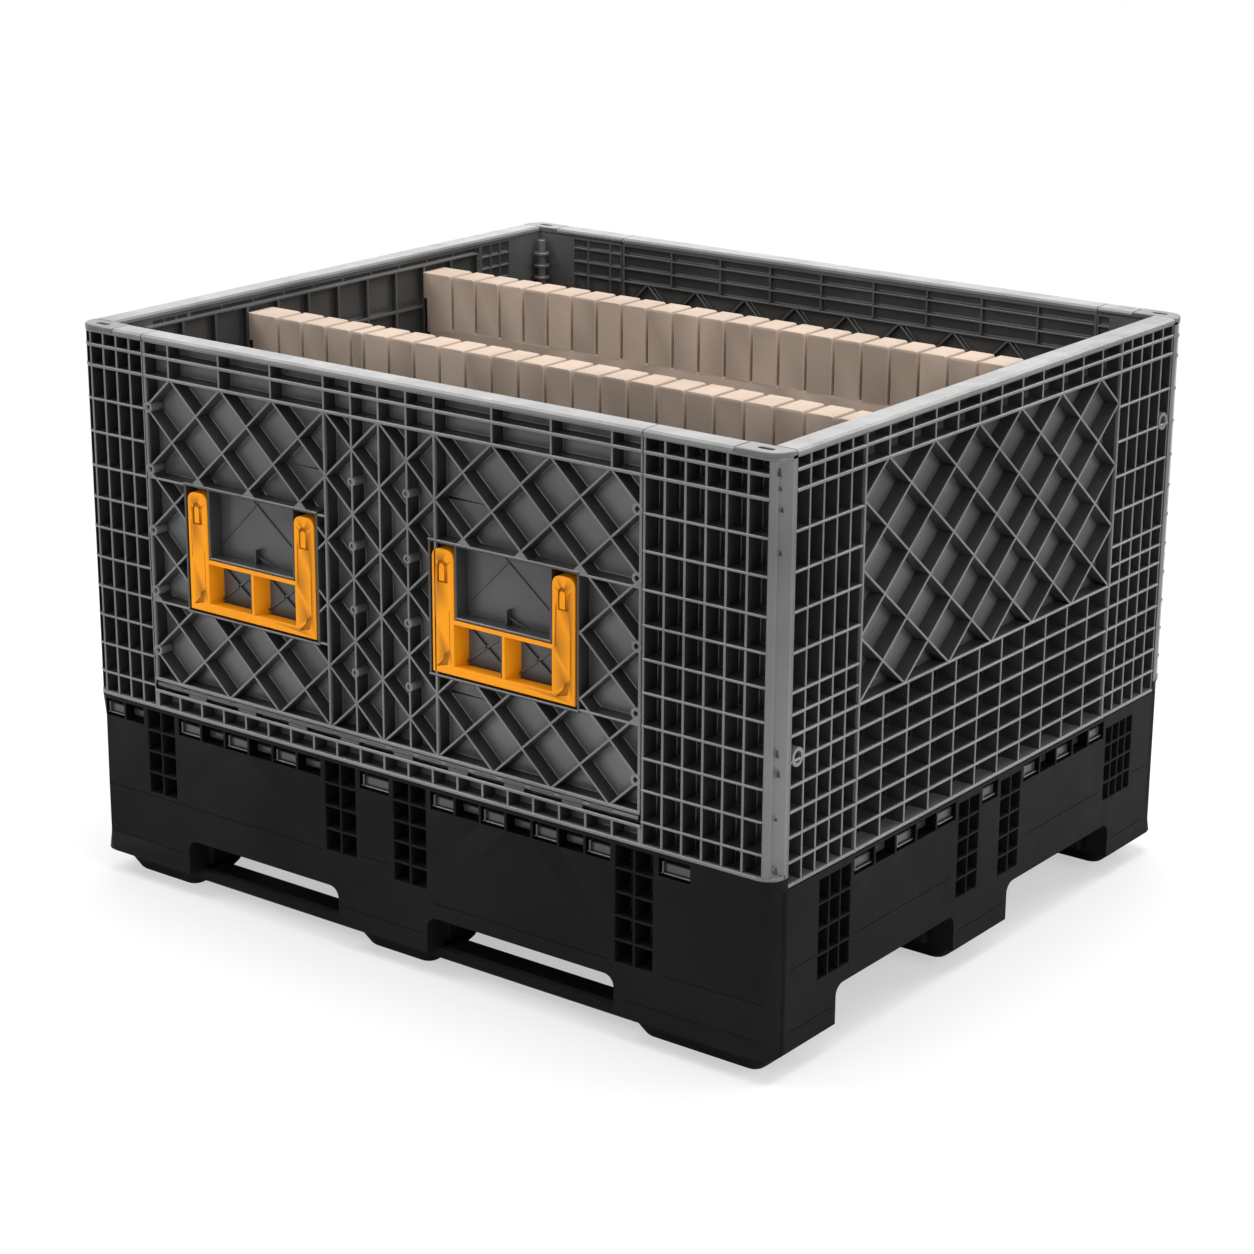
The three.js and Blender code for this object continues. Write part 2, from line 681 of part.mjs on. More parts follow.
// The rear long wall is the front one turned half round, and so are the two end walls.
const longSides = [
  ["front", 0],
  ["rear", Math.PI],
];
for (const [side, turn] of longSides) {
  const turned = new THREE.Group();
  turned.rotation.z = turn;
  const wall = new THREE.Group();
  wall.position.y = -HALF_WIDTH;
  wall.add(meshOf(side + "_wall_frame", longWallFrame(), WALL_GREY));
  wall.add(meshOf(side + "_door", door(), WALL_GREY));
  const rod = rodAlongX(
    HINGE_ROD_RADIUS,
    DOOR_LEFT + RIB,
    DOOR_RIGHT - RIB,
    HINGE_AXIS_DEPTH,
    HINGE_AXIS_LEVEL,
    PIN_SEGMENTS,
  );
  wall.add(meshOf(side + "_door_hinge_rod", rod, STEEL_GREY));
  LATCH_CENTRES.forEach((centre, i) => {
    const label = side + "_latch_" + (i === 0 ? "a" : "b");
    wall.add(meshOf(label, latch(centre), LATCH_ORANGE));
    wall.add(meshOf(label + "_pin_left", latchPin(centre, -1), STEEL_GREY));
    wall.add(meshOf(label + "_pin_right", latchPin(centre, 1), STEEL_GREY));
  });
  turned.add(wall);
  root.add(turned);
}

const endSides = [
  ["right", Math.PI / 2],
  ["left", -Math.PI / 2],
];
for (const [side, turn] of endSides) {
  const turned = new THREE.Group();
  turned.rotation.z = turn;
  const wall = new THREE.Group();
  wall.position.y = -HALF_LENGTH;
  wall.add(meshOf(side + "_end_wall", endWall(), WALL_GREY));
  wall.add(meshOf(side + "_end_liner", liner(), WALL_GREY));
  turned.add(wall);
  root.add(turned);
}

// Caps and rods are drawn at the front right corner and mirrored to the others.
const corners = [
  ["front_right", 1, 1],
  ["front_left", -1, 1],
  ["rear_right", 1, -1],
  ["rear_left", -1, -1],
];
for (const [corner, scaleX, scaleY] of corners) {
  const cap = meshOf(corner + "_corner_cap", cornerCap().scale([scaleX, scaleY, 1]), WALL_GREY);
  root.add(cap);
  const rod = meshOf(corner + "_lock_rod", lockRod().scale([scaleX, scaleY, 1]), STEEL_GREY);
  root.add(rod);
}

const frontComb = meshOf("front_foam_comb", comb(true), FOAM_BEIGE);
frontComb.position.y = -COMB_CENTRE - COMB_THICKNESS / 2;
root.add(frontComb);
const rearComb = meshOf("rear_foam_comb", comb(false), FOAM_BEIGE);
rearComb.position.y = COMB_CENTRE - COMB_THICKNESS / 2;
root.add(rearComb);

export default root;
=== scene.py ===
"""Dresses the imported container: ribbed walls, drop doors, pull latches, black base and foam combs."""

import math

import bmesh
import bpy
from mathutils import Matrix, Vector
from mathutils.geometry import delaunay_2d_cdt


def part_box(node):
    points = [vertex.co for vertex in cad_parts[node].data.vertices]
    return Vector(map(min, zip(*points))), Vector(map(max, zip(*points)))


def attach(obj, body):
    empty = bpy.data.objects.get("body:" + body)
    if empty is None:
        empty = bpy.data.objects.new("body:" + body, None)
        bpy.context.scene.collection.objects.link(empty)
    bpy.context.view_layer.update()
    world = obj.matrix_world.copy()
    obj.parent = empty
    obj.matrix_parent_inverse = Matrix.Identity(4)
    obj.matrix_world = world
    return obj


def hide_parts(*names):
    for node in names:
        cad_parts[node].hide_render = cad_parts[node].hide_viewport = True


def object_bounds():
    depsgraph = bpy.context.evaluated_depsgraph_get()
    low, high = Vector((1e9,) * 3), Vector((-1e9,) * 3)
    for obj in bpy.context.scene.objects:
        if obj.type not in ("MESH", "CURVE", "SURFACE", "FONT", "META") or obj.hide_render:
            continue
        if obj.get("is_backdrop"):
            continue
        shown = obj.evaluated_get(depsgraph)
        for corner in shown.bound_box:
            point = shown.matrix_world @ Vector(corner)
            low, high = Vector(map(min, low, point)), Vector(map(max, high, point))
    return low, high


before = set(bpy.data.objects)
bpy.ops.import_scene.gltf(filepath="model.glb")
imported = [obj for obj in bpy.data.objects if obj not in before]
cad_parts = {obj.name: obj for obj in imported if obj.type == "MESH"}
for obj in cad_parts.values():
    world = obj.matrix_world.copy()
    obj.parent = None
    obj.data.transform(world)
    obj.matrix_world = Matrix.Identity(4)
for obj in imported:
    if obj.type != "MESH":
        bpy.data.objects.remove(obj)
cad_low, cad_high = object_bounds()

# Everything below is in millimetres, in a wall's own frame: u along the wall to the right as seen
# from outside, d inwards from its outer face, z up. The frame's boxes are in metres.
MM = 0.001


def span(node, axis):
    """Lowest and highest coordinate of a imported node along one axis, in millimetres."""
    low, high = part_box(node)
    return low[axis] / MM, high[axis] / MM


HALF_LENGTH = cad_high.x / MM
HALF_WIDTH = cad_high.y / MM
TOP = cad_high.z / MM
DOOR_LEFT, DOOR_RIGHT = span("front_door", 0)
HINGE_STRIP_TOP = span("front_door_hinge_rod", 2)[0] - 4.5
BASE_BOTTOM, BASE_TOP = span("base_deck", 2)
FLOOR_TOP = span("front_foam_comb", 2)[0]
END_BOTTOM = span("right_end_wall", 2)[0]
END_HALF = span("right_end_wall", 1)[1]

# Levels and depths read off the walls.
WALL_THICKNESS = 36
RIM_BOTTOM = TOP - 10
RIM_CHAMFER = 3
RAIL_ONE = 811
RAIL_TWO = 781
RAIL_HALF = 2.3
ROW_HALF = 1.8
DOOR_BOTTOM = 329
LATCH_BAND = (449, 633)
GRID_ROWS = (781, 732, 683, 632, 585, 540, 495, 450, 406, 362, 318, 284)
END_ROWS = (788, 736, 684, 632, 579, 527, 498, 470, 436, 402, 368, 334, 300, 268)
HINGE_LEVEL = sum(span("front_door_hinge_rod", 2)) / 2
HINGE_DEPTH = HALF_WIDTH + sum(span("front_door_hinge_rod", 1)) / 2
CORNER_RADIUS = 26
CORNER_SHARES = (1, 0.7, 0.45, 0.25, 0.1)
CAP_LENGTH, CAP_HEIGHT = 70, 6.9
PROUD = 1.5
EDGE = 0.7
DRAFT = 0.9
RIB = 3.3
SKIN_DEPTH = 24
SKIN_BORDER = 11
DEEP_FLOOR = 29.5
INNER_RAILS = (828, 812, 790, 768)
GRID_START, LAST_COLUMN = -587, 592
POST_EDGE = 503

# Shallow nicks on the near corner post, with near-black painted shade in them: place along the wall, level
# and height.
CORNER_NICKS = (
    (602, 812, 8), (603, 794, 3), (604.5, 767, 4), (604, 712, 4),
    (605, 450, 8), (606, 424, 7), (605, 366, 2), (606, 293, 7),
)

# Painted light and shade: shares of the plastic's brightness painted onto the points, above one for painted
# highlights and below one for painted shade.
# Painted highlight on the rims.
RIM_PAINTED_HIGHLIGHT = 1.7
# Painted highlight on the ribs' front faces and edges, and on rails, posts, bosses and eased edges.
EDGE_PAINTED_HIGHLIGHT = 1.35
BODY_TONE = 1.0
# Skin floors: painted shade round their borders and a painted sheen in their middles.
SKIN_PAINTED_SHADE_AND_SHEEN = (0.65, 1.15)
# Painted shade inside the walls, in the back pockets and on the hinge knuckles.
INNER_PAINTED_SHADE = 0.5
# Painted shade on the inner edges and back faces of the walls.
INNER_EDGE_PAINTED_SHADE = 0.7
# Painted shade in the latch recesses, on their small ribs and in the latches' holes and grooves.
DIM_PAINTED_SHADE = 0.45
# Painted shade on the hinge lugs, which sit back in the base's slots.
LUG_PAINTED_SHADE = 0.36
# Painted shade on the side walls of the pockets.
SIDE_PAINTED_SHADE = 0.33
# Near-black painted shade on the floors of blind cells that stand for open ones.
DEEP_PAINTED_SHADE = 0.12
# Near-black painted shade in the shallow nicks of the corner post.
NICK_PAINTED_SHADE = 0.03


def sides_of(outline):
    """Pairs of points, one for each side of a closed outline."""
    return list(zip(outline, outline[1:] + outline[:1]))


def inset(outline, distance):
    """Moves every side of an outline, given anticlockwise, inwards by the same distance."""
    lines = []
    for (u, z), (next_u, next_z) in sides_of(outline):
        length = math.hypot(next_u - u, next_z - z)
        normal_u, normal_z = -(next_z - z) / length, (next_u - u) / length
        lines.append((normal_u, normal_z, normal_u * u + normal_z * z + distance))
    moved = []
    for i, (a, b, c) in enumerate(lines):
        before_a, before_b, before_c = lines[i - 1]
        cross = before_a * b - before_b * a
        if abs(cross) < 1e-6:
            u, z = outline[i]
            moved.append((u + a * distance, z + b * distance))
        else:
            moved.append(((before_c * b - before_b * c) / cross, (before_a * c - before_c * a) / cross))
    return moved


def keeps_shape(outline, moved):
    """True if every side of the moved outline still runs the way it did."""
    return all(
        (b[0] - a[0]) * (d[0] - c[0]) + (b[1] - a[1]) * (d[1] - c[1]) > 0
        for (a, b), (c, d) in zip(sides_of(outline), sides_of(moved))
    )


def area(outline):
    """Signed area, positive when the outline runs anticlockwise."""
    return sum(a[0] * b[1] - b[0] * a[1] for a, b in sides_of(outline)) / 2


def straightened(outline):
    """Drops the points that lie on a straight stretch."""
    kept = []
    for i, (u, z) in enumerate(outline):
        before, after = outline[i - 1], outline[(i + 1) % len(outline)]
        cross = (u - before[0]) * (after[1] - z) - (z - before[1]) * (after[0] - u)
        if abs(cross) > 1e-3:
            kept.append((u, z))
    return kept


def rectangle(u0, u1, z0, z1):
    return [(u0, z0), (u1, z0), (u1, z1), (u0, z1)]


def chamfered(across, along, chamfer):
    """Section with cut corners, anticlockwise, for the thin bars of the walls."""
    (a0, a1), (b0, b1) = across, along
    c = min(chamfer, (a1 - a0) / 3, (b1 - b0) / 3)
    return [
        (a0 + c, b0), (a1 - c, b0), (a1, b0 + c), (a1, b1 - c),
        (a1 - c, b1), (a0 + c, b1), (a0, b1 - c), (a0, b0 + c),
    ]


def holds(outline, u, z):
    """True if the point lies inside the outline."""
    inside = False
    for (u0, z0), (u1, z1) in sides_of(outline):
        if (z0 > z) != (z1 > z) and u < (u1 - u0) * (z - z0) / (z1 - z0) + u0:
            inside = not inside
    return inside


def mirrored(spans):
    """The same spans, (start, end, ...), seen from the other side."""
    return [(-end, -start, *rest) for start, end, *rest in spans[::-1]]


def levels(first, last, count):
    """Even steps from first to last, both included."""
    return [first + (last - first) * i / count for i in range(count + 1)]


def cells_between(segments):
    """Closed cells of the plane that a set of straight rib lines cuts out."""
    points, edges = [], []
    for a, b in segments:
        edges.append((len(points), len(points) + 1))
        points += [Vector(a), Vector(b)]
    made, sides, faces, _, side_origins, _ = delaunay_2d_cdt(points, edges, [], 0, 1e-3)
    ribs = {frozenset(side) for side, origins in zip(sides, side_origins) if origins}
    owners = {}
    for number, face in enumerate(faces):
        for a, b in sides_of(face):
            owners.setdefault(frozenset((a, b)), []).append(number)
    group = list(range(len(faces)))

    def root(number):
        while group[number] != number:
            number = group[number]
        return number

    for side, pair in owners.items():
        if len(pair) == 2 and side not in ribs:
            group[root(pair[0])] = root(pair[1])
    borders = {}
    for number, face in enumerate(faces):
        for a, b in sides_of(face):
            pair = owners[frozenset((a, b))]
            other = [n for n in pair if n != number]
            if not other or root(other[0]) != root(number):
                borders.setdefault(root(number), {})[a] = b
    cells = []
    for steps in borders.values():
        start = next(iter(steps))
        loop, here = [start], steps[start]
        while here != start and here in steps and len(loop) < len(steps) + 1:
            loop.append(here)
            here = steps[here]
        outline = straightened([(made[i].x, made[i].y) for i in loop])
        if len(outline) > 2:
            cells.append(outline if area(outline) > 0 else outline[::-1])
    return cells


def diamond_lines(left, right, rows, pitches):
    """Crossing diagonals whose crossings lie on the rows, starting half a pitch in on the top row."""
    step = (right - left) / pitches / 2
    lines = []
    for k in range(len(rows) - 1):
        for j in range(2 * pitches):
            u0, u1 = left + j * step, left + (j + 1) * step
            z0, z1 = (rows[k], rows[k + 1]) if (j + k) % 2 else (rows[k + 1], rows[k])
            lines.append(((u0, z0), (u1, z1)))
    return lines


def frame_lines(left, right, bottom, top):
    return sides_of(rectangle(left, right, bottom, top))


def grid(columns, rows):
    """Rectangular cells between the given column and row lines, rows given from the top down."""
    return [
        rectangle(u0, u1, z0, z1)
        for u0, u1 in zip(columns, columns[1:])
        for z1, z0 in zip(rows, rows[1:])
    ]


class Shell:
    """Faces of one piece, collected in a wall's own frame."""

    def __init__(self):
        self.points = []
        self.faces = []
        self.painted_light_shares = []

    def mark(self, painted_light):
        """Gives every point made since the last mark a share of painted light or shade, which scales the
        plastic's colour.
        """
        self.painted_light_shares += [painted_light] * (len(self.points) - len(self.painted_light_shares))

    def loop(self, outline, depth):
        start = len(self.points)
        self.points += [(u, depth, z) for u, z in outline]
        return list(range(start, len(self.points)))

    def walls(self, near, far, outward=False):
        """Joins two loops of equal length with side faces that look into a hole, or out."""
        for i in range(len(near)):
            j = (i + 1) % len(near)
            face = (near[i], near[j], far[j], far[i])
            self.faces.append(face[::-1] if outward else face)

    def sleeve(self, outline, near, far):
        """Outward side faces between two depths."""
        self.walls(self.loop(outline, near), self.loop(outline, far), outward=True)

    def fill(self, outline, holes, depth, facing_out):
        """Flat face with holes in it."""
        points, edges = [], []
        for ring in [outline] + holes:
            start = len(points)
            points += [Vector(p) for p in ring]
            edges += [(start + i, start + (i + 1) % len(ring)) for i in range(len(ring))]
        made, _, faces, _, _, _ = delaunay_2d_cdt(points, edges, [], 0, 1e-4)
        start = len(self.points)
        self.points += [(p.x, depth, p.y) for p in made]
        boxes = [
            (min(u for u, _ in h), max(u for u, _ in h), min(z for _, z in h), max(z for _, z in h), h)
            for h in holes
        ]
        for face in faces:
            corners = [made[i] for i in face]
            u = sum(p.x for p in corners) / len(corners)
            z = sum(p.y for p in corners) / len(corners)
            if not holds(outline, u, z):
                continue
            if any(b[0] < u < b[1] and b[2] < z < b[3] and holds(b[4], u, z) for b in boxes):
                continue
            turned = area([(p.x, p.y) for p in corners]) < 0
            ring = [start + i for i in face]
            self.faces.append(tuple(ring[::-1] if turned == facing_out else ring))

    def pocket(self, outline, rib, near, floor, facing_out=True, painted_light=1.0):
        """Chamfered, drafted recess with a floor, painted with light and shade: a painted highlight on the
        mouth's edge outside and painted shade on it inside, painted shade on the sides and round the floor's
        border, and a painted sheen in the floor's middle. Returns the outline of its mouth.
        """
        way = 1 if facing_out else -1
        mouth = inset(outline, rib / 2 - EDGE)
        self.mark(BODY_TONE)
        rings = []
        edge_painted_light = EDGE_PAINTED_HIGHLIGHT if facing_out else INNER_EDGE_PAINTED_SHADE
        throat, foot = rib / 2, rib / 2 + DRAFT
        for ring, depth, shade in (
            (mouth, near, edge_painted_light),
            (inset(outline, throat), near + way * EDGE, edge_painted_light),
            (inset(outline, throat), near + way * 2 * EDGE, SIDE_PAINTED_SHADE),
            (inset(outline, foot), floor - way * 0.5, SIDE_PAINTED_SHADE),
            (inset(outline, foot + 1.5), floor, painted_light * SKIN_PAINTED_SHADE_AND_SHEEN[0]),
            (inset(outline, foot + SKIN_BORDER), floor, painted_light * SKIN_PAINTED_SHADE_AND_SHEEN[1]),
        ):
            if len(rings) > 4 and (painted_light == DEEP_PAINTED_SHADE or not keeps_shape(outline, ring)):
                break
            rings.append(self.loop(ring, depth))
            self.mark(shade)
        for a, b in zip(rings, rings[1:]):
            self.walls(a, b, outward=not facing_out)
        self.faces.append(tuple(rings[-1] if facing_out else rings[-1][::-1]))
        return mouth

    def opening(self, outline, rib, near, far):
        """Chamfered hole right through. Returns the outline of its mouth."""
        mouth = inset(outline, rib / 2 - EDGE)
        throat = inset(outline, rib / 2)
        rings = [
            self.loop(mouth, near),
            self.loop(throat, near + EDGE),
            self.loop(throat, far - EDGE),
            self.loop(mouth, far),
        ]
        for a, b in zip(rings, rings[1:]):
            self.walls(a, b)
        return mouth

    def panel(
        self, outline, near, far, pockets=(), deep=(), back_pockets=(),
        rib=RIB, floor=SKIN_DEPTH, back_floor=28, dim=(),
    ):
        """Plate with recesses on both sides. The deep ones are blind cells that stand for open ones, with
        near-black painted shade on their floors; the dim ones carry lighter painted shade.
        """
        front = [self.pocket(o, rib, near, floor) for o in pockets]
        front += [self.pocket(o, rib, near, floor, painted_light=DIM_PAINTED_SHADE) for o in dim]
        front += [self.pocket(o, rib, near, max(floor, DEEP_FLOOR), painted_light=DEEP_PAINTED_SHADE) for o in deep]
        back = [self.pocket(o, rib, far, back_floor, False, INNER_PAINTED_SHADE) for o in back_pockets]
        self.mark(BODY_TONE)
        self.fill(outline, front, near, True)
        # Painted highlight on the front face of the ribs.
        self.mark(EDGE_PAINTED_HIGHLIGHT)
        self.fill(outline, back, far, False)
        # Painted shade on the back face.
        self.mark(INNER_EDGE_PAINTED_SHADE)
        self.sleeve(outline, near, far)
        self.mark(BODY_TONE)

    def solid(self, outline, near, far, rounding=2.0):
        """Plate with eased front and back edges, which carry a painted highlight."""
        small = 0.3 * rounding
        steps = [
            (inset(outline, rounding), near),
            (inset(outline, small), near + small),
            (outline, near + rounding),
            (outline, far - rounding),
            (inset(outline, small), far - small),
            (inset(outline, rounding), far),
        ]
        rings = [self.loop(ring, depth) for ring, depth in steps]
        self.mark(EDGE_PAINTED_HIGHLIGHT)
        for a, b in zip(rings, rings[1:]):
            self.walls(a, b, outward=True)
        self.fill(steps[0][0], [], near, True)
        self.fill(steps[-1][0], [], far, False)
        self.mark(BODY_TONE)

    def loft(self, rings):
        """Closed body through rings of points that run anticlockwise about the way they go."""
        loops = []
        for ring in rings:
            start = len(self.points)
            self.points += ring
            loops.append(list(range(start, len(self.points))))
        for a, b in zip(loops, loops[1:]):
            for i in range(len(a)):
                j = (i + 1) % len(a)
                self.faces.append((a[i], a[j], b[j], b[i]))
        self.faces += [tuple(loops[0][::-1]), tuple(loops[-1])]

    def bar(self, us, depths, heights, chamfer=1.2):
        """Bar along u with chamfered long edges, with a section at each value of us."""
        section = chamfered(depths, heights, chamfer)
        self.loft([[(u, d, z) for d, z in section] for u in us])

    def rails(self, us, depths, heights, half, chamfer):
        """Level bar at each of the heights."""
        for z in heights:
            self.bar(us, depths, (z - half, z + half), chamfer)

    def post(self, us, depths, heights, chamfer=1.2):
        """Upright bar with chamfered long edges."""
        section = chamfered(us, depths, chamfer)
        self.loft([[(u, d, z) for u, d in section] for z in heights])

    def stack(self, sections):
        """Loft through plans of (u, d) points, each at its own level, from the lowest up."""
        self.loft([[(u, d, z) for u, d in plan] for z, plan in sections])

    def rib(self, start, end, width, near, far):
        """Straight rib between two points of the wall's face."""
        run = Vector(end) - Vector(start)
        side = Vector((-run.y, run.x)).normalized() * width / 2
        outline = [
            tuple(Vector(start) - side), tuple(Vector(end) - side),
            tuple(Vector(end) + side), tuple(Vector(start) + side),
        ]
        self.sleeve(outline, near, far)
        self.fill(outline, [], near, True)

    def ring(self, u, z, outer, inner, near, far, segments=16):
        """Small round boss with a hole in it."""
        turn = [2 * math.pi * i / segments for i in range(segments)]
        wide, narrow = ([(u + r * math.cos(a), z + r * math.sin(a)) for a in turn] for r in (outer, inner))
        wide_near, narrow_near = self.loop(wide, near), self.loop(narrow, near)
        self.walls(wide_near, self.loop(wide, far), outward=True)
        self.walls(narrow_near, self.loop(narrow, far))
        self.walls(wide_near, narrow_near)

    def turned(self, profile, centre, along, segments=20):
        """Round piece from a profile of (place along the axis, radius). The axis is u or z."""
        turn = [2 * math.pi * i / segments for i in range(segments)]
        rings = []
        for place, radius in profile:
            circle = [(centre[0] + radius * math.cos(a), centre[1] + radius * math.sin(a)) for a in turn]
            rings.append([(place, *p) if along == "u" else (*p, place) for p in circle])
        self.loft(rings)

    def round_corners(self, radius, thickness):
        """Rolls the outer face inwards towards both ends of a long wall."""
        start = HALF_LENGTH - radius
        for i, (u, d, z) in enumerate(self.points):
            over = min(abs(u) - start, radius)
            if over > 0:
                roll = radius - math.sqrt(max(radius * radius - over * over, 0))
                self.points[i] = (u, roll + d * (thickness - roll) / thickness, z)


def refined(outline):
    """Adds points to an outline near the long wall's ends, so that it can roll round the corner."""
    cuts = [side * (HALF_LENGTH - CORNER_RADIUS * share) for side in (-1, 1) for share in CORNER_SHARES]
    made = []
    for (u0, z0), (u1, z1) in sides_of(outline):
        made.append((u0, z0))
        between = [c for c in cuts if min(u0, u1) + 0.01 < c < max(u0, u1) - 0.01]
        for cut in sorted(between, reverse=u1 < u0):
            made.append((cut, z0 + (z1 - z0) * (cut - u0) / (u1 - u0)))
    return made


def wall_places(side):
    """Matrix from a wall's own frame, in millimetres, to the row frame."""
    turn = {"front": 0, "right": 90, "rear": 180, "left": 270}[side]
    out = HALF_WIDTH if side in ("front", "rear") else HALF_LENGTH
    return (
        Matrix.Rotation(math.radians(turn), 4, "Z")
        @ Matrix.Translation((0, -out * MM, 0))
        @ Matrix.Scale(MM, 4)
    )


def piece(name, shell, place, material, body, node, smooth=False):
    """Makes the object of a shell. It rides with the body and stands for the node."""
    mesh = bpy.data.meshes.new(name)
    mesh.from_pydata(shell.points, [], shell.faces)
    mesh.transform(place)
    shell.mark(BODY_TONE)
    # Stores the painted light and shade of the points, which the material multiplies into its colour.
    mesh.attributes.new("painted_light", "FLOAT", "POINT").data.foreach_set("value", shell.painted_light_shares)
    made = bmesh.new()
    made.from_mesh(mesh)
    bmesh.ops.remove_doubles(made, verts=made.verts, dist=0.02 * MM)
    made.to_mesh(mesh)
    made.free()
    mesh.validate()
    mesh.materials.append(material)
    if smooth:
        mesh.shade_smooth()
        mesh.set_sharp_from_angle(angle=math.radians(40))
    thing = bpy.data.objects.new(name, mesh)
    bpy.context.scene.collection.objects.link(thing)
    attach(thing, body)
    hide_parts(node)
    return thing


MOTTLE_STOPS = (0.3, 0.7)
GLOSS_SPREAD = (-0.08, 0.12)
GRAIN_HEIGHT = 0.0004
SINK_SCALE, SINK_HEIGHT = 13, 0.006


def added(tree, *kinds):
    """New shader nodes of the given kinds."""
    return [tree.nodes.new("ShaderNode" + kind) for kind in kinds]


def noise(tree, place, scale, detail, distortion=0.0):
    """Noise over the object's own coordinates."""
    (made,) = added(tree, "TexNoise")
    for name, value in (("Scale", scale), ("Detail", detail), ("Distortion", distortion)):
        made.inputs[name].default_value = value
    tree.links.new(place.outputs["Object"], made.inputs["Vector"])
    return made.outputs["Fac"]


def relief(tree, height, strength, distance):
    """Bump node over a height."""
    (made,) = added(tree, "Bump")
    made.inputs["Strength"].default_value = strength
    made.inputs["Distance"].default_value = distance
    tree.links.new(height, made.inputs["Height"])
    return made


def plastic(name, dark, light, roughness, grain, bump, wave=0.0, mottle=6.0, specular=0.5, takes_painted_light=True):
    """Moulded plastic: slow mottling, fine grain, gentle sink marks and patches of different gloss."""
    made = bpy.data.materials.new(name)
    made.use_nodes = True
    tree = made.node_tree
    shader = tree.nodes["Principled BSDF"]
    shader.inputs["Specular IOR Level"].default_value = specular
    place, ramp, gloss = added(tree, "TexCoord", "ValToRGB", "MapRange")
    for stop, position, shade in zip(ramp.color_ramp.elements, MOTTLE_STOPS, (dark, light)):
        stop.position = position
        stop.color = (*shade, 1)
    tree.links.new(noise(tree, place, mottle, 5), ramp.inputs["Fac"])
    colour = ramp.outputs["Color"]
    # Multiplies the colour by the painted light and shade stored on the points.
    if takes_painted_light:
        painted_light, scaled = added(tree, "Attribute", "VectorMath")
        painted_light.attribute_name = "painted_light"
        scaled.operation = "SCALE"
        tree.links.new(colour, scaled.inputs[0])
        tree.links.new(painted_light.outputs["Fac"], scaled.inputs["Scale"])
        colour = scaled.outputs["Vector"]
    tree.links.new(colour, shader.inputs["Base Color"])
    gloss.inputs["To Min"].default_value = roughness + GLOSS_SPREAD[0]
    gloss.inputs["To Max"].default_value = roughness + GLOSS_SPREAD[1]
    tree.links.new(noise(tree, place, mottle * 5, 6, 1.5), gloss.inputs["Value"])
    tree.links.new(gloss.outputs["Result"], shader.inputs["Roughness"])
    fine = relief(tree, noise(tree, place, grain, 3), bump, GRAIN_HEIGHT)
    sink = relief(tree, noise(tree, place, SINK_SCALE, 1), wave, SINK_HEIGHT)
    tree.links.new(sink.outputs["Normal"], fine.inputs["Normal"])
    tree.links.new(fine.outputs["Normal"], shader.inputs["Normal"])
    return made


wall_plastic = plastic(
    "wall_plastic", (0.070, 0.070, 0.069), (0.112, 0.112, 0.110),
    roughness=0.30, grain=900, bump=0.2, wave=0.8, specular=0.5,
)
base_plastic = plastic(
    "base_plastic", (0.006, 0.006, 0.006), (0.010, 0.010, 0.010),
    roughness=0.5, grain=900, bump=0.3, wave=0.15, specular=0.04,
)
latch_plastic = plastic(
    "latch_plastic", (0.78, 0.27, 0.004), (0.86, 0.31, 0.006),
    roughness=0.45, grain=700, bump=0.15, wave=0.1, specular=0.15,
)
foam_face = plastic(
    "foam", (0.28, 0.22, 0.175), (0.34, 0.27, 0.22),
    roughness=0.85, grain=420, bump=0.6, wave=0.1, mottle=9.0, specular=0.25,
)
# The latch pins keep their CAD meshes, which carry no painted light or shade.
pin_steel = plastic(
    "pin_steel", (0.10, 0.10, 0.10), (0.14, 0.14, 0.14), roughness=0.45, grain=1500, bump=0.1, takes_painted_light=False
)
pin_steel.node_tree.nodes["Principled BSDF"].inputs["Metallic"].default_value = 1.0

# Door: nine diamond pitches, with uprights at every half pitch in its middle band.
LATCH_CENTRES = (-281, 173)
LATCH_HALF = 121
LATCH_ARM = 38
LATCH_LEVELS = (452, 625)
LATCH_STRIP = (524, 530)
DOOR_PITCHES = 9
DOOR_ROWS = levels(RAIL_TWO, DOOR_BOTTOM, 10)
HALF_PITCH = (DOOR_RIGHT - DOOR_LEFT) / DOOR_PITCHES / 2
BAND_COLUMNS = [DOOR_LEFT + HALF_PITCH * i for i in (7, 8, 9, 10, 11)]
LATCH_GAP = 3
KNUCKLE_START, KNUCKLE_PITCH, KNUCKLE_LENGTH, KNUCKLE_RADIUS = 14, 49, 40, 4.4


def latch_boxes():
    """Outlines of the recesses that the latches sit in."""
    reach = LATCH_HALF + LATCH_GAP
    return [rectangle(c - reach, c + reach, *LATCH_BAND) for c in LATCH_CENTRES]


def eased_rod(start, end, radius):
    """Profile of a round rod with eased ends."""
    return ((start, radius - 0.8), (start + 1, radius), (end - 1, radius), (end, radius - 0.8))


def knuckles(shell, first, inward, depths, heights):
    """Every other knuckle of the door's hinge line, each with the web that carries it."""
    for i in range(first, int((DOOR_RIGHT - DOOR_LEFT) // KNUCKLE_PITCH), 2):
        start = DOOR_LEFT + KNUCKLE_START + i * KNUCKLE_PITCH
        end = start + KNUCKLE_LENGTH
        shell.turned(eased_rod(start, end, KNUCKLE_RADIUS), (HINGE_DEPTH, HINGE_LEVEL), "u")
        shell.bar((start + inward, end - inward), depths, heights)


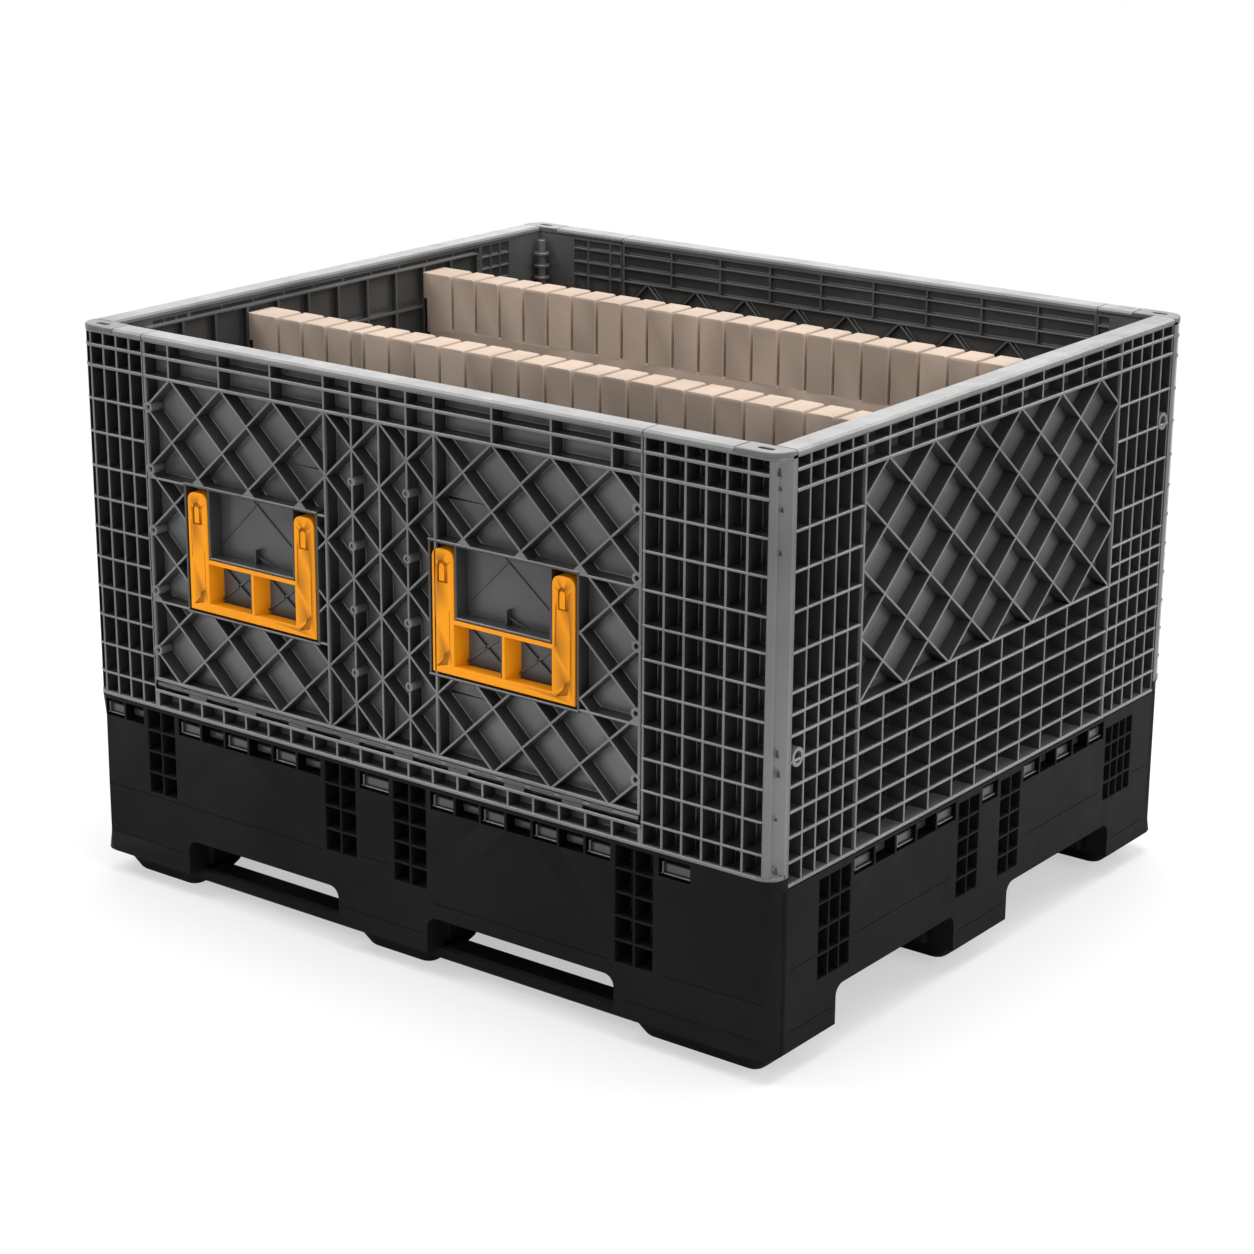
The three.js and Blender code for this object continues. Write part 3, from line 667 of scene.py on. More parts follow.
def door_shell():
    left, right = DOOR_LEFT + 2, DOOR_RIGHT - 2
    boxes = latch_boxes()
    lines = diamond_lines(left, right, DOOR_ROWS, DOOR_PITCHES)
    lines += frame_lines(left, right, DOOR_BOTTOM, RAIL_TWO)
    for u in BAND_COLUMNS:
        lines.append(((u, DOOR_BOTTOM), (u, RAIL_TWO)))
    for z in LATCH_BAND:
        lines += [((left, z), (BAND_COLUMNS[0], z)), ((BAND_COLUMNS[-1], z), (right, z))]
    for box in boxes:
        lines += sides_of(box)
    cells = []
    for cell in cells_between(lines):
        u = sum(p[0] for p in cell) / len(cell)
        z = sum(p[1] for p in cell) / len(cell)
        inner = inset(cell, 2.6)
        small = area(inner) < 60 or abs(area(inner)) > abs(area(cell))
        if small or any(holds(box, u, z) for box in boxes):
            continue
        cells.append(cell)
    columns = [left] + [DOOR_LEFT + HALF_PITCH * (2 * i + 1) for i in range(DOOR_PITCHES)] + [right]
    columns += BAND_COLUMNS[1:4:2]
    cells += grid(sorted(columns), (RIM_BOTTOM + 1, RAIL_ONE, RAIL_TWO))
    back = grid(levels(left, right, 9), INNER_RAILS)
    last = INNER_RAILS[-1]
    back_lines = diamond_lines(left, right, levels(last, DOOR_BOTTOM, 9), DOOR_PITCHES)
    back += cells_between(back_lines + frame_lines(left, right, DOOR_BOTTOM, last))
    shell = Shell()
    outline = rectangle(DOOR_LEFT, DOOR_RIGHT, DOOR_BOTTOM - 2, RIM_BOTTOM + 4)
    shell.panel(outline, PROUD, WALL_THICKNESS - 1, cells, (), back, dim=[inset(box, -2.25) for box in boxes])
    shell.bar((DOOR_LEFT, DOOR_RIGHT), (0, WALL_THICKNESS), (RIM_BOTTOM, TOP), RIM_CHAMFER)
    # Painted highlight on the rim.
    shell.mark(RIM_PAINTED_HIGHLIGHT)
    shell.rails((DOOR_LEFT, DOOR_RIGHT), (0, 4), (RAIL_ONE, RAIL_TWO), RAIL_HALF, 1)
    shell.bar((DOOR_LEFT, DOOR_RIGHT), (0, 5), (DOOR_BOTTOM - 2, DOOR_BOTTOM + 3), 1)
    for u in (DOOR_LEFT + 2.5, BAND_COLUMNS[0], BAND_COLUMNS[-1], DOOR_RIGHT - 2.5):
        shell.post((u - 1.9, u + 1.9), (0.4, 6), (DOOR_BOTTOM, RAIL_TWO), 0.9)
    for k in range(1, len(DOOR_ROWS), 2):
        for u in (DOOR_LEFT + 7, DOOR_RIGHT - 7):
            shell.ring(u, DOOR_ROWS[k], 8, 4.2, 0.2, 22)
    for u in BAND_COLUMNS[1:4:2]:
        for k in (2, 4, 6, 8):
            shell.ring(u, DOOR_ROWS[k], 6.5, 3.4, 0.4, 22)
    # Painted highlight on the rails, posts and bosses.
    shell.mark(EDGE_PAINTED_HIGHLIGHT)
    for c, box in zip(LATCH_CENTRES, boxes):
        arm = LATCH_HALF - LATCH_ARM
        low, high = box[0][1], box[2][1]
        for side in (-1, 1):
            u = c + side * (arm - 2.5)
            shell.post((u - 1.6, u + 1.6), (1.0, SKIN_DEPTH), (LATCH_STRIP[1] + 2, high))
            u = c + side * (LATCH_HALF + 4.6)
            shell.post((u - 1.6, u + 1.6), (0.4, SKIN_DEPTH), (low, high))
        us = (c - LATCH_HALF - 6, c + LATCH_HALF + 6)
        z0, z1 = LATCH_LEVELS[0] + 13, LATCH_STRIP[0]
        shell.bar((c - arm + 1, c + arm - 1), (0.8, SKIN_DEPTH), (LATCH_STRIP[1] + 1, LATCH_STRIP[1] + 4.5))
        shell.bar(us, (0.2, SKIN_DEPTH), (high - 0.5, high + 4))
        shell.bar(us, (0.2, SKIN_DEPTH), (low - 4, low - 0.5))
        shell.post((c - 4.5, c - 1), (1.5, SKIN_DEPTH), (z0 + 1, z1))
        # Small ribs of the recess: start, end, width and the depth they start at.
        for start, finish, width, near in (
            ((-arm, z0), (-5, z1), 3, 21), ((-arm, z1), (-5, z0), 3, 21),
            ((5, z0), (arm, z1), 3, 21), ((5, z1), (arm, z0), 3, 21),
            ((-4, 531), (-4, 556), 1.4, 14), ((-4, 546), (40, 531), 1.4, 18),
            ((4 - arm, 548), (6, high), 1.6, 22.2), ((-24, high), (arm - 4, 552), 1.6, 22.2),
        ):
            shell.rib((c + start[0], start[1]), (c + finish[0], finish[1]), width, near, SKIN_DEPTH + 0.5)
    # Painted shade on the posts, bars and small ribs of the latch recesses.
    shell.mark(DIM_PAINTED_SHADE)
    knuckles(shell, 0, 1, (3, 11), (HINGE_LEVEL + 2, DOOR_BOTTOM))
    # Painted shade on the hinge knuckles.
    shell.mark(INNER_PAINTED_SHADE)
    return shell


def wall_frame_shell():
    shell = Shell()
    left, right = DOOR_LEFT - 1.5, DOOR_RIGHT + 1.5
    end = HALF_LENGTH
    outline = [
        (-end, BASE_TOP), (end, BASE_TOP), (end, RIM_BOTTOM + 4), (right, RIM_BOTTOM + 4),
        (right, HINGE_STRIP_TOP), (left, HINGE_STRIP_TOP), (left, RIM_BOTTOM + 4), (-end, RIM_BOTTOM + 4),
    ]
    left_columns = [-end + 5] + levels(GRID_START, left - 1, 4)
    right_columns = levels(right + 1, LAST_COLUMN, 6)
    rows = (RIM_BOTTOM + 1, RAIL_ONE) + GRID_ROWS
    cells = [refined(cell) for cell in grid(left_columns, rows) + grid(right_columns, rows)]
    strip = grid(levels(left + 4, right - 4, 20), (HINGE_STRIP_TOP - 1, BASE_TOP + 3))
    inner_rows = INNER_RAILS + (680, 590, 500, 410, BASE_TOP + 6)
    back = grid((right, 426, 472, POST_EDGE), inner_rows) + grid((-POST_EDGE, left - 1), inner_rows)
    shell.panel(refined(outline), PROUD, WALL_THICKNESS, strip, cells, back, 3.6, 26, 32)
    ends = [end - CORNER_RADIUS * share for share in (*CORNER_SHARES, 0)]
    left_ends = [-u for u in ends[::-1]]
    shell.mark(BODY_TONE)
    for us in ([right] + ends, left_ends + [left]):
        shell.bar(us, (0, WALL_THICKNESS), (RIM_BOTTOM, TOP - 7), 1)
    for us in ([right, end - CORNER_RADIUS, LAST_COLUMN], left_ends + [left]):
        shell.rails(us, (0, 5), (RAIL_ONE, RAIL_TWO), RAIL_HALF, 1)
        shell.rails(us, (0.6, 6), GRID_ROWS[1:-1], ROW_HALF, 0.9)
    shell.post((LAST_COLUMN - 1, LAST_COLUMN + 8), (0.3, 6), (BASE_TOP + 6, RIM_BOTTOM), 1.5)
    # Painted highlight on the rim bars, rails and post.
    shell.mark(EDGE_PAINTED_HIGHLIGHT)
    for u, z, tall in CORNER_NICKS:
        outline = [(u - 1.8, z), (u + 1.4, z - 2), (u + 0.6, z + tall), (u - 0.4, z + tall + 2)]
        shell.sleeve(outline, -0.2, 1)
        shell.fill(outline, [], -0.2, True)
    # Near-black painted shade in the nicks.
    shell.mark(NICK_PAINTED_SHADE)
    shell.bar(left_ends + ends, (0, 8), (BASE_TOP + 0.5, BASE_TOP + 6))
    shell.bar((left, right), (0, 8), (HINGE_STRIP_TOP - 5, HINGE_STRIP_TOP))
    # Painted highlight on the ledges.
    shell.mark(EDGE_PAINTED_HIGHLIGHT)
    for us in ((right, end - CAP_LENGTH - 1), (-end + CAP_LENGTH + 1, left)):
        shell.bar(us, (0, WALL_THICKNESS), (RIM_BOTTOM, TOP), RIM_CHAMFER)
    # Painted highlight on the rim ends.
    shell.mark(RIM_PAINTED_HIGHLIGHT)
    shell.round_corners(CORNER_RADIUS, WALL_THICKNESS)
    shell.mark(BODY_TONE)
    knuckles(shell, 1, 3, (2, 10), (HINGE_STRIP_TOP - 1, HINGE_LEVEL - 3))
    # Painted shade on the hinge knuckles.
    shell.mark(INNER_PAINTED_SHADE)
    return shell


# End wall: six diamond pitches on a skin, grids at its ends and a small grid under it, whose blind cells
# carry near-black painted shade in place of openings.
END_FIELD = 333
END_PITCHES = 6
END_RAIL = 814
END_FIELD_ROW = 7


def end_wall_shell():
    shell = Shell()
    field_top, field_bottom = END_ROWS[0], END_ROWS[END_FIELD_ROW]
    edge = END_HALF
    edges = ((-edge, -END_FIELD), (END_FIELD, edge))
    outline = rectangle(-edge, edge, END_BOTTOM, RIM_BOTTOM + 4)
    lines = diamond_lines(-END_FIELD, END_FIELD, levels(field_top, field_bottom, 7), END_PITCHES)
    lines += frame_lines(-END_FIELD, END_FIELD, field_bottom, field_top)
    pockets = cells_between(lines)
    rows = (RIM_BOTTOM + 1, END_RAIL, field_top)
    pockets += grid(levels(-END_FIELD, END_FIELD, END_PITCHES * 2), rows)
    deep = grid(levels(-END_FIELD, END_FIELD, 11), END_ROWS[END_FIELD_ROW:])
    for left, right in edges:
        deep += grid(levels(left, right, 5), rows[:2] + END_ROWS)
    back_rows = levels(RIM_BOTTOM - 2, END_BOTTOM + 4, 28)
    back = []
    for left, right, count in ((-END_FIELD, END_FIELD, 10), (-410, -338, 3), (338, 410, 3)):
        back += grid(levels(left, right, count), back_rows)
    shell.panel(outline, PROUD, WALL_THICKNESS - 2, pockets, deep, back, back_floor=31)
    shell.bar((-edge, edge), (0, WALL_THICKNESS), (RIM_BOTTOM, TOP), RIM_CHAMFER)
    # Painted highlight on the rim.
    shell.mark(RIM_PAINTED_HIGHLIGHT)
    shell.rails((-edge, edge), (0, 5), (END_RAIL, field_top), RAIL_HALF, 1)
    shell.rails((-edge, edge), (0.4, 5), END_ROWS[END_FIELD_ROW:-1], ROW_HALF + 0.1, 0.9)
    for us in edges:
        shell.rails(us, (0.6, 5), END_ROWS[1:END_FIELD_ROW], ROW_HALF, 0.9)
    shell.bar((-edge, edge), (0, WALL_THICKNESS - 2), (END_BOTTOM, END_BOTTOM + 5))
    for u in (-END_FIELD, END_FIELD):
        shell.post((u - 2, u + 2), (0.2, 6), (END_BOTTOM, RIM_BOTTOM), 0.9)
    for u, z in ((-edge + 15, 440), (edge - 18, 690)):
        shell.ring(u, z, 13, 8, 0.3, 20)
    # Painted highlight on the rails, posts and bosses.
    shell.mark(EDGE_PAINTED_HIGHLIGHT)
    return shell


def liner_shell():
    shell = Shell()
    low, high = span("right_end_liner", 2)
    left, right = span("right_end_liner", 1)
    near = HALF_LENGTH - span("right_end_liner", 0)[1]
    far = HALF_LENGTH - span("right_end_liner", 0)[0]
    outline = rectangle(left, right, low, high)
    cells = grid(levels(left, right, 11), levels(high, low, 8))
    shell.panel(outline, near, far, (), (), cells, 5.0, near + 3, far - 9)
    return shell


def arc(centre_u, centre_z, radius, start, end, steps=5):
    turn = [math.radians(angle) for angle in levels(start, end, steps)]
    return [(centre_u + radius * math.cos(a), centre_z + radius * math.sin(a)) for a in turn]


def arch(u, z, half, height):
    """Outline with a flat foot and a round top."""
    return [(u - half, z), (u + half, z)] + arc(u, z + height - half, half, 0, 180, 8)


def latch_shell(centre):
    low, high = LATCH_LEVELS
    half, arm = LATCH_HALF, LATCH_HALF - LATCH_ARM
    top = LATCH_STRIP[1]
    near, far = 0.4, 19.6
    r = 12
    right_half = [(half, low)] + arc(half - r, high - r, r, 0, 90)
    right_half += arc(arm + r, high - r, r, 90, 180) + [(arm, top)]
    outline = right_half + [(-u, z) for u, z in right_half[::-1]]
    outline = [(u + centre, z) for u, z in outline]
    openings = [
        rectangle(centre - arm, centre - 1, low + 13, LATCH_STRIP[0]),
        rectangle(centre + 4, centre + arm, low + 13, LATCH_STRIP[0]),
    ]
    shell = Shell()
    marks = []
    for side in (-1, 1):
        u = centre + side * (half - LATCH_ARM / 2)
        drop, island = arch(u, high - 46, 9, 32), arch(u - 2, high - 44, 4.5, 24)
        foot = [(-12, 8), (7, 13), (12, 32), (3, 29), (-1, 20)]
        floor = shell.loop(inset(drop, 0.4), 3.4)
        shell.walls(shell.loop(drop, near), floor)
        shell.fill(inset(drop, 0.4), [island], 3.4, True)
        # Painted shade in the drop hole.
        shell.mark(DIM_PAINTED_SHADE)
        shell.sleeve(island, 1.2, 3.4)
        shell.fill(island, [], 1.2, True)
        shell.mark(BODY_TONE)
        grooves = [
            [(u + x, low + z) for x, z in foot],
            rectangle(u - 13, u - 12, high - 96, high - 40),
            rectangle(u + 11, u + 12, low + 40, low + 90),
        ]
        for groove in grooves:
            rings = [shell.loop(groove, near), shell.loop(inset(groove, 0.3), 2.6)]
            shell.walls(*rings)
            shell.fill(inset(groove, 0.3), [], 2.6, True)
        # Painted shade in the grooves.
        shell.mark(DIM_PAINTED_SHADE)
        marks += [drop] + grooves
    mouths = [shell.opening(o, 0, near, far) for o in openings]
    eased = inset(outline, 1.3)
    shell.fill(eased, mouths + marks, near, True)
    shell.walls(shell.loop(eased, near), shell.loop(outline, near + 1.3), outward=True)
    shell.sleeve(outline, near + 1.3, far)
    shell.fill(outline, mouths, far, False)
    deep = 26.5
    plates = [
        [(centre - arm - 3, 2), (centre - arm, 2), (centre - arm + 7, deep), (centre - arm - 3, deep)],
        [(centre - 1, 2), (centre + 4, 2), (centre + 14, deep), (centre + 9, deep)],
        [(centre + arm, 2), (centre + arm + 3, 2), (centre + arm + 3, deep), (centre + arm, deep)],
    ]
    for plan in plates:
        shell.stack([(low + 12.5, plan), (LATCH_STRIP[0] + 1, plan)])
    return shell


# Base: skirt panels with fork ways, small windows and the slots of the wall hinges.
FORK_TOP = 90
FORK_WAYS = ((-426, -130), (35, 360))
END_WAYS = ((-370, -72), (72, 370))
END_TOP = END_BOTTOM - 1
# Windows: start, end, bottom, top, columns, rows. Slots: start, end, count. Seams: start, end, level.
FRONT_WINDOWS = (
    (-503, -445, 147, 279, 2, 4), (-152, -92, 142, 279, 2, 4),
    (-25, 37, 128, 279, 2, 5), (360, 425, 110, 279, 2, 5),
)
END_WINDOWS = (
    (-417, -340, 112, 256, 3, 4), (-72, -14, 112, 256, 2, 5),
    (41, 99, 108, 256, 2, 5), (346, 430, 130, 248, 4, 4),
)
LONG_SEAMS = (
    (-590, -160, 142), (-590, -440, 66), (-85, -30, 150), (45, 355, 112),
    (440, 596, 112), (380, 596, 60), (-120, 30, 62),
)
END_SEAMS = (
    (-480, -425, 150), (-330, -80, 150), (110, 338, 150), (436, 480, 150),
    (-480, -385, 62), (-60, 60, 62), (380, 480, 62),
)
FRONT_SLOTS = ((-590, -508, 2), (-440, -157, 6), (-87, -30, 1), (42, 355, 7), (430, 484, 1))
END_SLOTS = ((-335, -77, 5), (-9, 36, 1), (104, 341, 5))
SLOT_BAND = (3, 33)


def skirt_outline(half, ways, top):
    """Skirt seen from outside, with a round-shouldered notch for each fork way."""
    r = 16
    points = [(-half, BASE_BOTTOM)]
    for u0, u1 in ways:
        points.append((u0, BASE_BOTTOM))
        points += arc(u0 + r, FORK_TOP - r, r, 180, 90)
        points += arc(u1 - r, FORK_TOP - r, r, 90, 0)
        points.append((u1, BASE_BOTTOM))
    return points + [(half, BASE_BOTTOM), (half, top), (-half, top)]


def skirt_shell(half, ways, windows, slots, top, seams):
    shell = Shell()
    openings = []
    for u0, u1, z0, z1, columns, rows in windows:
        openings += grid(levels(u0, u1, columns), levels(z1, z0, rows))
    band = [top - drop for drop in SLOT_BAND]
    pockets = [cell for u0, u1, count in slots for cell in grid(levels(u0, u1, count), band)]
    outline = skirt_outline(half, ways, top)
    is_long = half > HALF_WIDTH
    cuts = refined(outline) if is_long else outline
    grooves = [rectangle(u0, u1, z, z + 1.1) for u0, u1, z in seams]
    for groove in grooves:
        pair = [shell.loop(groove, 0), shell.loop(inset(groove, 0.2), 0.9)]
        shell.walls(*pair)
        shell.faces.append(tuple(pair[-1]))
    mouths = [shell.opening(o, 3.4, 0, WALL_THICKNESS) for o in openings]
    front = mouths + grooves + [shell.pocket(o, 4.0, 0, 32) for o in pockets]
    shell.fill(cuts, front, 0, True)
    shell.fill(cuts, mouths, WALL_THICKNESS, False)
    shell.sleeve(cuts, 0, WALL_THICKNESS)
    if is_long:
        shell.round_corners(CORNER_RADIUS, WALL_THICKNESS)
    return shell


def lugs(shell, slots, top):
    """Hinge lugs of a wall, which show in every other slot of the base under it. They carry painted shade, as
    they sit back in the slots.
    """
    for u0, u1, count in slots:
        width = (u1 - u0) / count
        for i in range(count):
            a, b = u0 + i * width + 3.5, u0 + (i + 1) * width - 3.5
            low = top - SLOT_BAND[1] + 5
            if i % 2:
                shell.bar((a, b), (16, 30), (low, low + 11), 1.0)
            else:
                shell.bar((a + 4, b), (7, 30), (low + 2, low + 15), 1.0)
                shell.bar((a, b), (3, 8), (low, low + 2.4), 0.8)
                shell.bar((a + 2.5, a + 5), (3, 20), (low, low + 18), 0.8)
    shell.mark(LUG_PAINTED_SHADE)


def joined(parts):
    """One shell from several, each moved by its own matrix into the row frame."""
    whole = Shell()
    for shell, place in parts:
        start = len(whole.points)
        shell.mark(BODY_TONE)
        whole.painted_light_shares += shell.painted_light_shares
        whole.points += [tuple(place @ Vector(p)) for p in shell.points]
        whole.faces += [tuple(start + i for i in face) for face in shell.faces]
    return whole


def between(ways, half, clear=0):
    """Stretches left and right of two fork ways and between them, lengthened by the clearance."""
    (start, left), (right, end) = ways
    return [(-half, start + clear), (left - clear, right + clear), (end - clear, half)]


def deck_shell():
    """Floor, feet and the ribs under the deck, in the row frame's millimetres."""
    shell = Shell()
    inner_u, inner_v = HALF_LENGTH - WALL_THICKNESS, HALF_WIDTH - WALL_THICKNESS
    shell.bar((-inner_u, inner_u), (-inner_v, inner_v), (FORK_TOP, FLOOR_TOP), 1)
    for u0, u1 in between(FORK_WAYS, inner_u):
        for v0, v1 in between(END_WAYS, inner_v):
            shell.post((u0, u1), (v0, v1), (BASE_BOTTOM, FORK_TOP + 1), 14)
    for u in levels(-inner_u + 30, inner_u - 30, 14):
        shell.bar((u - 2, u + 2), (-inner_v, inner_v), (FLOOR_TOP - 0.5, FLOOR_TOP + 0.5))
    return shell


TO_METRES = Matrix.Scale(MM, 4)
base_parts = [(deck_shell(), TO_METRES)]
for side in ("front", "rear"):
    ways, windows, seams = FORK_WAYS, FRONT_WINDOWS, LONG_SEAMS
    if side == "rear":
        ways, windows, seams = mirrored(ways), mirrored(windows), mirrored(seams)
    skirt = skirt_shell(HALF_LENGTH, ways, windows, FRONT_SLOTS, BASE_TOP, seams)
    base_parts.append((skirt, wall_places(side)))
for side in ("right", "left"):
    windows, slots = END_WINDOWS, END_SLOTS
    if side == "left":
        windows, slots = mirrored(windows), mirrored(slots)
    skirt = skirt_shell(HALF_WIDTH - CORNER_RADIUS + 0.2, END_WAYS, windows, slots, END_TOP, END_SEAMS)
    base_parts.append((skirt, wall_places(side)))
whole = joined(base_parts)
piece("base_moulding", whole, Matrix.Identity(4), base_plastic, "base", "base_deck", True)


def rounded(u0, u1, v0, v1, radius):
    """Plan of a rectangle with round corners, anticlockwise."""
    left, right, low, high = u0 + radius, u1 - radius, v0 + radius, v1 - radius
    plan = arc(right, high, radius, 0, 90) + arc(left, high, radius, 90, 180)
    return plan + arc(left, low, radius, 180, 270) + arc(right, low, radius, 270, 360)


def runner_shell(name):
    """Row of three tapered feet under the skirt, joined by thinner bridges."""
    shell = Shell()
    near, far = span(name, 1)
    steps = ((0, 30, 14, 14), (3, 26, 11, 16), (25, 5, 3, 20), (BASE_BOTTOM, 0, 0, 22))
    for u0, u1 in between(FORK_WAYS, HALF_LENGTH - 11, 4):
        shell.stack([
            (z, rounded(u0 + in_u, u1 - in_u, near + in_v, far - in_v, radius))
            for z, in_u, in_v, radius in steps
        ])
    bridges = {"runner_front": (near + 8, near + 50), "runner_rear": (far - 50, far - 8)}
    bridge = bridges.get(name, (-21, 21))
    for u0, u1 in FORK_WAYS:
        shell.bar((u0 - 20, u1 + 20), bridge, (14, BASE_BOTTOM), 4)
    return shell


for name in ("runner_front", "runner_middle", "runner_rear"):
    piece(name + "_skid", runner_shell(name), TO_METRES, base_plastic, "base", name, True)


SLOT_WIDTH, SLOT_DEPTH = 5, 87
FIRST_SLOT, BLOCK_PITCH, NARROW_PITCH, NARROW_BLOCK = 58, 48.3, 25, 5


def comb_shell(name, has_narrow_block):
    """Foam bar with round-bottomed slots and ends notched round the liner's ribs."""
    shell = Shell()
    end = span(name, 0)[1]
    bottom, top = span(name, 2)
    steps = ((0, 42), (7, 96), (13, top - bottom))
    profile_right = []
    for i, (inward, drop) in enumerate(steps):
        profile_right.append((end - inward, top - (steps[i - 1][1] if i else 0)))
        profile_right.append((end - inward, top - drop))
    slot, count, slots = -end + FIRST_SLOT, 1, []
    while slot + SLOT_WIDTH < end - 20:
        slots.append(slot)
        count += 1
        slot += NARROW_PITCH if has_narrow_block and count == NARROW_BLOCK else BLOCK_PITCH
    across = []
    half = SLOT_WIDTH / 2
    mouth = ((half + 4.5, 0), (half + 1.5, 1.2), (half, 5))
    for slot in slots[::-1]:
        middle = slot + half
        across += [(middle + u, top - z) for u, z in mouth]
        across += arc(middle, top - SLOT_DEPTH + half, half, 0, -180, 4)
        across += [(middle - u, top - z) for u, z in mouth[::-1]]
    left_side = [(-u, z) for u, z in profile_right]
    outline = profile_right[::-1] + across + left_side
    near, far = span(name, 1)
    shell.solid(outline, near, far, 1.8)
    return shell


for side, has_narrow_block in (("front", True), ("rear", False)):
    name = side + "_foam_comb"
    shell = comb_shell(name, has_narrow_block)
    comb = piece(side + "_comb_foam", shell, TO_METRES, foam_face, "base", name, True)

for side in ("front", "rear"):
    place = wall_places(side)
    door_body = side + "_drop_door"
    shell = wall_frame_shell()
    lugs(shell, FRONT_SLOTS, BASE_TOP)
    piece(side + "_wall_moulding", shell, place, wall_plastic, "base", side + "_wall_frame")
    piece(side + "_door_moulding", door_shell(), place, wall_plastic, door_body, side + "_door")
    rod = Shell()
    rod.turned(eased_rod(DOOR_LEFT + 3, DOOR_RIGHT - 3, 4), (HINGE_DEPTH, HINGE_LEVEL), "u")
    piece(side + "_hinge_rod", rod, place, pin_steel, "base", side + "_door_hinge_rod", True)
    for letter, centre in zip("ab", LATCH_CENTRES):
        name = side + "_latch_" + letter
        body = side + "_pull_latch_" + letter
        piece(name + "_plate", latch_shell(centre), place, latch_plastic, body, name)
        for end in ("left", "right"):
            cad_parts[name + "_pin_" + end].data.materials[0] = pin_steel

for side in ("right", "left"):
    place = wall_places(side)
    shell = end_wall_shell()
    lugs(shell, END_SLOTS if side == "right" else mirrored(END_SLOTS), END_TOP)
    piece(side + "_end_moulding", shell, place, wall_plastic, "base", side + "_end_wall")
    piece(side + "_liner_moulding", liner_shell(), place, wall_plastic, "base", side + "_end_liner")


def cap_shell(sign_u, sign_v):
    """Corner cap in plan, drawn from its top face down."""
    shell = Shell()
    r = CORNER_RADIUS
    end, out = HALF_LENGTH, -HALF_WIDTH
    start, inner, middle = end - CAP_LENGTH, out + WALL_THICKNESS, out + WALL_THICKNESS / 2
    outline = [(start, out), (end - r, out)] + arc(end - r, out + r, r, -90, 0, 6)[1:]
    outline += [(end, inner), (start, inner)]
    hole = arc(end - 42, middle, 4.5, 90, 270, 6) + arc(end - 27, middle, 4.5, -90, 90, 6)
    if sign_u * sign_v < 0:
        outline, hole = outline[::-1], hole[::-1]
    outline = [(sign_u * u, sign_v * v) for u, v in outline]
    hole = [(sign_u * u, sign_v * v) for u, v in hole]
    mouth = shell.opening(hole, 0.0, 0, CAP_HEIGHT)
    top = inset(outline, 1.2)
    rings = [shell.loop(top, 0), shell.loop(outline, 1.2), shell.loop(outline, CAP_HEIGHT)]
    for a, b in zip(rings, rings[1:]):
        shell.walls(a, b, outward=True)
    shell.fill(top, [mouth], 0, True)
    shell.fill(outline, [mouth], CAP_HEIGHT, False)
    return shell


FROM_TOP = Matrix(((MM, 0, 0, 0), (0, 0, MM, 0), (0, -MM, 0, TOP * MM), (0, 0, 0, 1)))
CORNERS = (("front_right", 1, 1), ("front_left", -1, 1), ("rear_right", 1, -1), ("rear_left", -1, -1))
COLLAR_LEVELS = (756, 776, 796)
COLLAR = ((0, 7), (0, 12), (1, 13), (4, 13), (5, 12), (5, 7))
for corner, sign_u, sign_v in CORNERS:
    shell = cap_shell(sign_u, sign_v)
    piece(corner + "_cap_moulding", shell, FROM_TOP, wall_plastic, "base", corner + "_corner_cap")
    name = corner + "_lock_rod"
    low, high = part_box(name)
    u, v = (low.x + high.x) / 2 / MM, (low.y + high.y) / 2 / MM
    profile = [(low.z / MM, 7)]
    for level in COLLAR_LEVELS:
        profile += [(level + rise, radius) for rise, radius in COLLAR]
    profile += [(high.z / MM - 1, 7), (high.z / MM, 6)]
    rod = Shell()
    rod.turned(profile, (u, v), "z", 24)
    piece(corner + "_rod_moulding", rod, TO_METRES, wall_plastic, "base", name, True)


FADE_START, FADE_END = 1.5, 3.0
PAPER_SHARE = 0.5


def stage_material():
    """Pale matte floor that fades into the white background away from the container."""
    made = bpy.data.materials.new("pale_floor")
    made.use_nodes = True
    tree = made.node_tree
    link = tree.links.new
    shader = tree.nodes["Principled BSDF"]
    shader.inputs["Base Color"].default_value = (0.9, 0.9, 0.9, 1)
    shader.inputs["Roughness"].default_value = 0.9
    shader.inputs["Specular IOR Level"].default_value = 0.1
    place, reach, fade = added(tree, "TexCoord", "VectorMath", "MapRange")
    reach.operation = "LENGTH"
    link(place.outputs["Object"], reach.inputs[0])
    fade.inputs["From Min"].default_value = FADE_START
    fade.inputs["From Max"].default_value = FADE_END
    fade.interpolation_type = "SMOOTHSTEP"
    link(reach.outputs["Value"], fade.inputs["Value"])
    clear, paper, sight, share = added(tree, "BsdfTransparent", "Emission", "LightPath", "Math")
    paper.inputs["Strength"].default_value = 1.0
    share.operation = "MULTIPLY"
    share.inputs[1].default_value = PAPER_SHARE
    link(sight.outputs["Is Camera Ray"], share.inputs[0])
    soft, mix = added(tree, "MixShader", "MixShader")
    link(share.outputs["Value"], soft.inputs["Fac"])
    link(shader.outputs["BSDF"], soft.inputs[1])
    link(paper.outputs["Emission"], soft.inputs[2])
    link(fade.outputs["Result"], mix.inputs["Fac"])
    link(soft.outputs["Shader"], mix.inputs[1])
    link(clear.outputs["BSDF"], mix.inputs[2])
    link(mix.outputs["Shader"], tree.nodes["Material Output"].inputs["Surface"])
    return made


